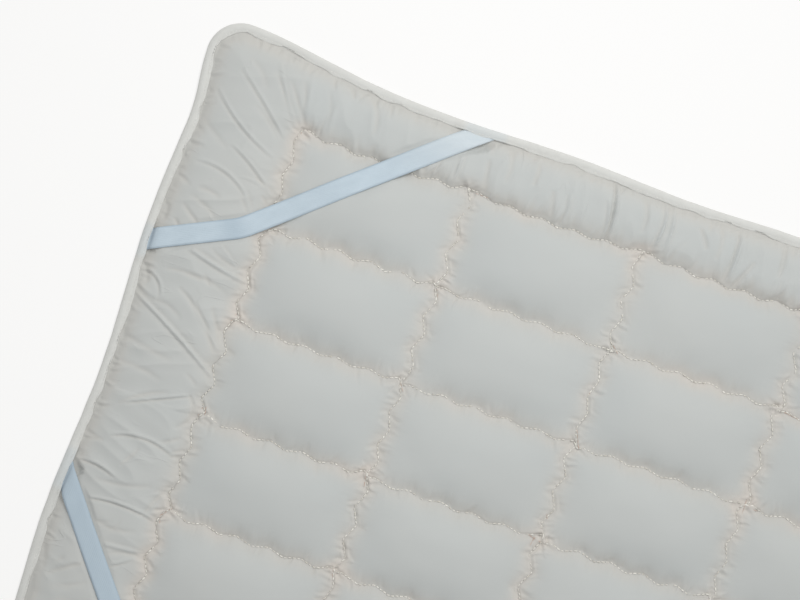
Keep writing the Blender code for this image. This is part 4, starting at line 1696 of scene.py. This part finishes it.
    def build(self, shader: Shader) -> Any:
        """Make the strap.

        Args:
            shader: the elastic's finish.

        Returns:
            The piece.
        """
        across = (np.arange(self.lanes) / (self.lanes - 1) - 0.5) * self.width
        count = self.steps + 1
        rows, marks = [], []
        bottom = np.concatenate([self.plan, self.z[..., None]], axis=-1)
        top = bottom + (0, 0, self.thickness)
        rounded = 0.3 * self.thickness
        for edge in (0, -1):
            top[edge, :, 2] -= rounded
            bottom[edge, :, 2] += rounded
        for lane in range(self.lanes):
            rows.append(bottom[lane])
            marks.append(across[lane])
        for lane in range(self.lanes - 1, -1, -1):
            rows.append(top[lane])
            marks.append(across[lane])
        points = np.concatenate(rows)
        number = np.arange(len(points)).reshape(len(rows), count)
        faces: list[tuple[int, ...]] = []
        for lane in range(len(rows)):
            faces += strip(number[lane], number[(lane + 1) % len(rows)], closed=False)
        for end in (0, -1):
            for lane in range(self.lanes - 1):
                other = len(rows) - 1 - lane
                faces.append((number[lane, end], number[lane + 1, end],
                              number[other - 1, end], number[other, end]))
        made = make_object(f"{self.name}_elastic", points, faces, shader)
        along = np.tile(np.linspace(0, self.length, count), len(rows))
        side = np.repeat(marks, count)
        uv = made.data.uv_layers.new(name="lie")
        corner = np.empty(len(made.data.loops), int)
        made.data.loops.foreach_get("vertex_index", corner)
        uv.data.foreach_set("uv", np.stack([along[corner], side[corner]], axis=1).ravel())
        # Painted shade across the strap just before the bend, stored with the darker firm edges and
        # the strap's painted shade.
        knee_shade = np.exp(-(((along - self.knee_along + 0.008) / 0.014) ** 2))
        firm = smooth((np.abs(side) / self.width * 2 - 0.8) / 0.2)
        store(made, "edge_and_shade", np.clip(firm * 0.6 + knee_shade * 0.7 + self.strap_shade, 0, 1))
        # Painted highlight towards the side end of the strap.
        store(made, "end_highlight", smooth((along - self.length + 0.14) / 0.14))
        # Painted shade where the end turns under.
        store(made, "turn_shade", 0.75 * np.concatenate([self.fold, self.fold[::-1]]).ravel())
        return made


# Binding

@dataclass
class EdgeBinding:
    """The tape folded over the rim and sewn down all the way round."""

    outline: Outline
    tape_width: float = 0.029
    lift: Array = field(init=False, repr=False)
    swell: Array = field(init=False, repr=False)
    SEAM_INWARD = 9.2
    SEAM_HEIGHT = 6.30
    # The tape's section: how far in from the finished edge, the height, and how far that
    # point is lifted where a strap end lies beneath.
    SECTION = (
        (11.5, 5.50, 1.0), (11.2, 6.00, 1.0), (10.2, 6.35, 1.0), (9.2, 6.25, 1.0),
        (8.0, 6.75, 1.0), (6.0, 7.15, 1.0), (4.0, 7.00, 0.9), (2.2, 6.35, 0.6), (0.9, 5.30, 0.3),
        (0.2, 4.20, 0.1), (0.0, 3.20, 0.0), (0.2, 2.00, 0.0), (0.9, 0.90, 0.0),
        (2.2, 0.25, 0.0), (4.0, 0.0, 0.0), (11.5, 0.0, 0.0), (11.5, 0.75, 0.0),
        (4.0, 0.80, 0.0), (1.5, 1.60, 0.0), (1.1, 3.20, 0.0), (1.7, 4.50, 0.2),
        (3.2, 5.60, 0.9), (6.0, 6.00, 1.0), (9.0, 5.55, 1.0), (10.8, 5.40, 1.0),
    )
    FREE = (0, 1, 2, 24)

    def build(self, shader: Shader, straps: list[CornerStrap]) -> Any:
        """Make the binding.

        Args:
            shader: the tape's finish.
            straps: the straps whose ends it covers.

        Returns:
            The piece.
        """
        line = self.outline
        spots = np.concatenate([strap.plan[:, :3].reshape(-1, 2) for strap in straps]
                               + [strap.plan[:, -3:].reshape(-1, 2) for strap in straps])
        off = np.full(len(line.points), np.inf)
        for spot in spots:
            off = np.minimum(off, np.linalg.norm(line.points - spot, axis=1))
        cover = fade(off - 0.004, 0.008)
        self.lift = fade(off - 0.0075, 0.009) * (straps[0].thickness + 0.0005)
        noise = SoftNoise(21)
        scallop = 0.0019 * noise.at(line.along, 0.0, 0.017, 1.0)
        scallop += 0.0007 * noise.at(line.along, 5.5, 0.0055, 1.0)
        scallop = np.clip(scallop, -0.0024, 0.0012)
        wander = 0.0003 * (1.0 + noise.at(line.along, 17.5, 0.021, 1.0))
        self.swell = 0.00045 * noise.at(line.along, 9.5, 0.016, 1.0)
        self.swell += 0.00030 * noise.at(line.along, 14.5, 0.006, 1.0)
        rings = []
        for index, (inward, height, lifted) in enumerate(self.SECTION):
            reach = np.full(len(line.points), inward * MM)
            if index in self.FREE:
                reach = reach + scallop
            elif inward < 1.0:
                reach = reach - wander
            z = height * MM + self.lift * lifted
            if height > 4.0:
                z = z + self.swell
            place = line.points - line.normals * reach[:, None]
            rings.append(np.concatenate([place, z[:, None]], axis=1))
        number = np.arange(len(rings) * len(line.points)).reshape(len(rings), -1)
        faces: list[tuple[int, ...]] = []
        for index in range(len(rings)):
            faces += strip(number[index], number[(index + 1) % len(rings)])
        made = make_object("edge_binding_tape", np.concatenate(rings), faces, shader)
        store(made, "over_strap", np.tile(cover, len(rings)))
        return made

    def seam(self, top: bool) -> Array:
        """Points of the sewn line near the tape's free edge."""
        line = self.outline
        z = np.zeros(len(line.points))
        if top:
            z = self.SEAM_HEIGHT * MM + self.lift + self.swell
        place = line.points - line.normals * (self.SEAM_INWARD * MM)
        closed = np.concatenate([place, z[:, None]], axis=1)
        return np.concatenate([closed, closed[:1]])


# Stitching

class Stitcher:
    """Sews rows of small stitches, each a copy of one shape."""

    def __init__(self, length: float, width: float, kept: float) -> None:
        """Model the one stitch that is copied.

        Args:
            length: length of a stitch.
            width: its thickness.
            kept: share of the stitches that show.
        """
        self.kept = kept
        bpy.ops.object.select_all(action="DESELECT")
        bpy.ops.mesh.primitive_uv_sphere_add(segments=4, ring_count=3, radius=0.5)
        made = bpy.context.active_object
        bpy.ops.object.mode_set(mode="EDIT")
        bpy.ops.mesh.select_all(action="SELECT")
        bpy.ops.transform.rotate(value=math.pi / 2, orient_axis="Y", center_override=(0, 0, 0))
        bpy.ops.transform.resize(value=(length, width, width * 0.55), center_override=(0, 0, 0))
        bpy.ops.object.mode_set(mode="OBJECT")
        self.shape = np.array([tuple(vertex.co) for vertex in made.data.vertices])
        self.faces = [tuple(face.vertices) for face in made.data.polygons]
        bpy.data.objects.remove(made, do_unlink=True)
        self.points: list[Array] = []

    def sew(self, path: Array, pitch: float, seed: int) -> None:
        """Lay stitches along a path.

        Args:
            path: points of the sewn line.
            pitch: distance from stitch to stitch.
            seed: start of the random draws.
        """
        draw = np.random.default_rng(seed)
        gaps = np.linalg.norm(np.diff(path, axis=0), axis=1)
        along = np.concatenate([[0], np.cumsum(gaps)])
        count = max(int(along[-1] / pitch), 1)
        middle = (np.arange(count) + 0.5) * along[-1] / count
        middle = middle[draw.uniform(0, 1, count) < self.kept]
        count = len(middle)
        ends = []
        for side in (-0.5, 0.5):
            at = middle + side * pitch * 0.7
            ends.append(np.stack([np.interp(at, along, path[:, i]) for i in range(3)], axis=1))
        run = ends[1] - ends[0]
        run /= np.linalg.norm(run, axis=1, keepdims=True) + 1e-12
        turn = draw.normal(0, 0.09, count)
        ahead = run.copy()
        ahead[:, 0] = run[:, 0] * np.cos(turn) - run[:, 1] * np.sin(turn)
        ahead[:, 1] = run[:, 0] * np.sin(turn) + run[:, 1] * np.cos(turn)
        side = np.stack([-ahead[:, 1], ahead[:, 0], np.zeros(count)], axis=1)
        side /= np.linalg.norm(side, axis=1, keepdims=True) + 1e-12
        up = np.cross(ahead, side)
        size = draw.uniform(0.75, 1.2, count)[:, None, None]
        shape = self.shape[None] * size
        centre = (ends[0] + ends[1]) / 2
        made = (centre[:, None] + shape[..., 0:1] * ahead[:, None]
                + shape[..., 1:2] * side[:, None] + shape[..., 2:3] * up[:, None])
        self.points.append(made.reshape(-1, 3))

    def build(self, name: str, shader: Shader) -> Any:
        """Join the stitches to one piece.

        Args:
            name: name of the piece.
            shader: the thread's finish.

        Returns:
            The piece.
        """
        points = np.concatenate(self.points)
        size = len(self.shape)
        faces = []
        for start in range(0, len(points), size):
            faces += [tuple(start + corner for corner in face) for face in self.faces]
        return make_object(name, points, faces, shader)


QUILTING_PITCH = 0.0053
TACK_PITCH = 0.0052
EDGE_PITCH = 0.0042

# Short tacks by the crossings, as both ends in millimetres.
TACKS = (
    (-436, 140, -426, 118), (-437, 34, -427, 14), (-216, 134, -215, 108), (-211, 243, -188, 240),
    (-448, 1, -430, -3), (-443, -17, -440, 1), (-430, 250, -419, 240), (-437, 187, -431, 176),
    (-213, 121, -198, 120), (-647, 365, -629, 365), (-652, 244, -646, 231), (-655, 122, -647, 111),
    (-655, -114, -652, -128), (-656, 3, -653, -12), (-872, -122, -869, -136), (-864, 17, -862, 5),
)


def sew_tacks(gauge: Gauge, seams: Seams, shader: Shader) -> Any:
    """Sew the short reddish tacks by the crossings.

    Args:
        gauge: the pad's sizes.
        seams: the sewn lines.
        shader: the thread's finish.

    Returns:
        The piece.
    """
    stitcher = Stitcher(length=0.0066, width=0.0008, kept=1.0)
    draw = np.random.default_rng(8)
    ends = [np.array(((x1, y1), (x2, y2))) * MM for x1, y1, x2, y2 in TACKS]
    for column in range(gauge.columns + 1):
        for row in range(gauge.rows + 1):
            if 0 < column < 4 and row < 5:
                continue
            x = np.array([column * gauge.cell_length - gauge.frame_x])
            start = gauge.frame_y - row * gauge.cell_width
            y = start + np.array([draw.uniform(-0.012, 0.004)])
            y = np.clip(np.concatenate([y, y + 0.014]), -gauge.frame_y, gauge.frame_y)
            x = np.repeat(x, 2)
            move_x, move_y = seams.shift(x, y)
            ends.append(np.stack([x + move_x + draw.uniform(-0.002, 0.002, 2), y + move_y], axis=1))
    for index, pair in enumerate(ends):
        path = np.concatenate([pair, np.full((2, 1), gauge.stitch_top + 0.0005)], axis=1)
        stitcher.sew(path, TACK_PITCH, 500 + index)
    return stitcher.build("crossing_tacks", shader)


def sew_quilting(gauge: Gauge, seams: Seams, shader: Shader) -> Any:
    """Sew every seam of the quilting, on both covers.

    Args:
        gauge: the pad's sizes.
        seams: the sewn lines.
        shader: the thread's finish.

    Returns:
        The piece.
    """
    stitcher = Stitcher(length=0.0048, width=0.0018, kept=0.95)
    heights = (gauge.stitch_top + 0.0004, gauge.stitch_under - 0.0003)
    # Whether the seams run along the pad, their number, the points of one on each cover, and
    # the start of the random draws.
    families = ((True, gauge.rows + 1, (1200, 20 * gauge.columns + 1), 100),
                (False, gauge.columns + 1, (700, 12 * gauge.rows + 1), 200))
    for side, height in enumerate(heights):
        for long, lines, counts, seed in families:
            for line in range(lines):
                x, y = seams.straight(line, long, counts[side])
                move_x, move_y = seams.shift(x, y)
                path = np.stack([x + move_x, y + move_y, np.full_like(x, height)], axis=1)
                stitcher.sew(path, QUILTING_PITCH, seed + 2 * line + side)
    return stitcher.build("quilting_thread", shader)


# Studio

@dataclass
class Studio:
    """Pale floor, soft light and a camera that looks straight down on the far left corner."""

    centre: tuple[float, float] = (-0.6881, 0.2140)
    turn: float = math.radians(19.73)
    view_width: float = 0.96
    lens: float = 70.0
    sensor: float = 36.0
    level: float = 0.0085
    floor_size: float = 60.0
    floor_level: float = -0.0004
    floor_glow: float = 0.665
    sky_strength: float = 0.52

    def floor(self) -> Any:
        """Lay the floor."""
        bpy.ops.object.select_all(action="DESELECT")
        bpy.ops.mesh.primitive_plane_add(size=self.floor_size, location=(0, 0, self.floor_level))
        made = bpy.context.active_object
        made.name = "floor"
        shader = Shader("floor_paper", Roughness=0.9, Specular_IOR_Level=0.1)
        paper = shader.noise(shader.place(), 3.0, 2.0)
        tone = shader.blend(paper, (0.300, 0.298, 0.295, 1.0), (0.306, 0.304, 0.301, 1.0))
        shader.drive("Base Color", tone)
        shader.base.inputs["Emission Color"].default_value = (1.0, 0.995, 0.985, 1.0)
        shader.base.inputs["Emission Strength"].default_value = self.floor_glow
        made.data.materials.append(shader.material)
        return made

    def light(self, name: str, place: tuple[float, float, float], aim: tuple[float, float],
              size: float, power: float, colour: tuple[float, float, float]) -> None:
        """Hang one square soft light that faces the pad.

        Args:
            name: name of the light.
            place: where it hangs.
            aim: the spot of the floor that it faces.
            size: its side.
            power: its power in watts.
            colour: its colour.
        """
        lamp = bpy.data.lights.new(name, "AREA")
        lamp.shape, lamp.size, lamp.energy, lamp.color = "SQUARE", size, power, colour
        made = bpy.data.objects.new(name, lamp)
        made.location = place
        facing = Vector((*aim, 0.0)) - Vector(place)
        made.rotation_euler = facing.to_track_quat("-Z", "Y").to_euler()
        made.visible_camera = False
        bpy.context.scene.collection.objects.link(made)

    def build(self) -> None:
        """Set up the floor, the light and the camera."""
        self.floor()
        world = bpy.data.worlds.new("studio")
        bpy.context.scene.world = world
        world.use_nodes = True
        sky = world.node_tree.nodes["Background"]
        sky.inputs["Color"].default_value = (0.97, 0.985, 1.0, 1.0)
        sky.inputs["Strength"].default_value = self.sky_strength
        self.light("key", (1.6, 5.2, 5.8), self.centre, 2.4, 195.0, (1.0, 0.99, 0.97))
        self.light("fill", (-0.62, 0.52, 1.25), (-0.62, 0.52), 0.6, 5.0, (0.98, 0.99, 1.0))
        camera = bpy.data.cameras.new("camera")
        camera.lens, camera.sensor_width = self.lens, self.sensor
        made = bpy.data.objects.new("camera", camera)
        distance = self.view_width * self.lens / self.sensor
        made.location = (*self.centre, self.level + distance)
        made.rotation_euler = (0.0, 0.0, self.turn)
        bpy.context.scene.collection.objects.link(made)
        bpy.context.scene.camera = made
        bpy.context.scene.view_settings.view_transform = "Standard"


def report(piece: Any) -> None:
    """Log one piece with its number of faces."""
    LOG.info("%s: %d faces", piece.name, len(piece.data.polygons))


def main() -> None:
    """Build every piece, in the order in which a maker would sew them."""
    logging.basicConfig(level=logging.INFO, format="%(message)s")
    Studio().build()
    seams = Seams(GAUGE, seed=4)
    outline = Outline(GAUGE, step=0.0042)
    body = QuiltedBody(GAUGE, seams)
    far = {"along_end": 0.188, "along_side": 0.215, "knee_x": -0.028, "knee_y": 0.134}
    # The near straps get painted shade.
    near = {"along_end": 0.260, "along_side": 0.140, "knee_x": 0.0, "knee_y": 0.092,
            "strap_shade": 0.5}
    straps = [
        CornerStrap("strap_left_far", -1, 1, **far),
        CornerStrap("strap_right_far", 1, 1, **far),
        CornerStrap("strap_left_near", -1, -1, **near),
        CornerStrap("strap_right_near", 1, -1, **near),
    ]
    for strap in straps:
        strap.lay(body)
    puckers = Puckers(GAUGE, seams)
    puckers.along_seams()
    puckers.along_edge(outline)
    puckers.bunches()
    puckers.main_creases()
    folds = puckers.made
    cloth = CoverCloth().shader()
    pieces = body.build(cloth, folds, straps)
    for piece in pieces:
        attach(piece, "root")
        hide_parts("quilted_pad")
        report(piece)
    tape = BindingTape().shader()
    binding = EdgeBinding(outline)
    band = binding.build(tape, straps)
    edge_stitcher = Stitcher(length=0.0030, width=0.0009, kept=0.75)
    edge_stitcher.sew(binding.seam(True), EDGE_PITCH, 41)
    edge_stitcher.sew(binding.seam(False), EDGE_PITCH, 42)
    calm_thread = Thread("binding_thread", (0.82, 0.81, 0.77, 1.0), (0.68, 0.67, 0.63, 1.0))
    edge_thread = edge_stitcher.build("binding_thread", calm_thread.shader())
    for piece in (band, edge_thread):
        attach(piece, "root")
        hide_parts("edge_binding")
        report(piece)
    elastic = Elastic().shader()
    for strap in straps:
        piece = strap.build(elastic)
        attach(piece, "root")
        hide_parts(strap.name)
        report(piece)
    thread = sew_quilting(GAUGE, seams, Thread("quilting_thread").shader())
    tack_thread = Thread("tack_thread", (0.74, 0.58, 0.49, 1.0), (0.58, 0.42, 0.34, 1.0)).shader()
    for piece in (thread, sew_tacks(GAUGE, seams, tack_thread)):
        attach(piece, "root")
        report(piece)


if __name__ == "__main__":
    main()
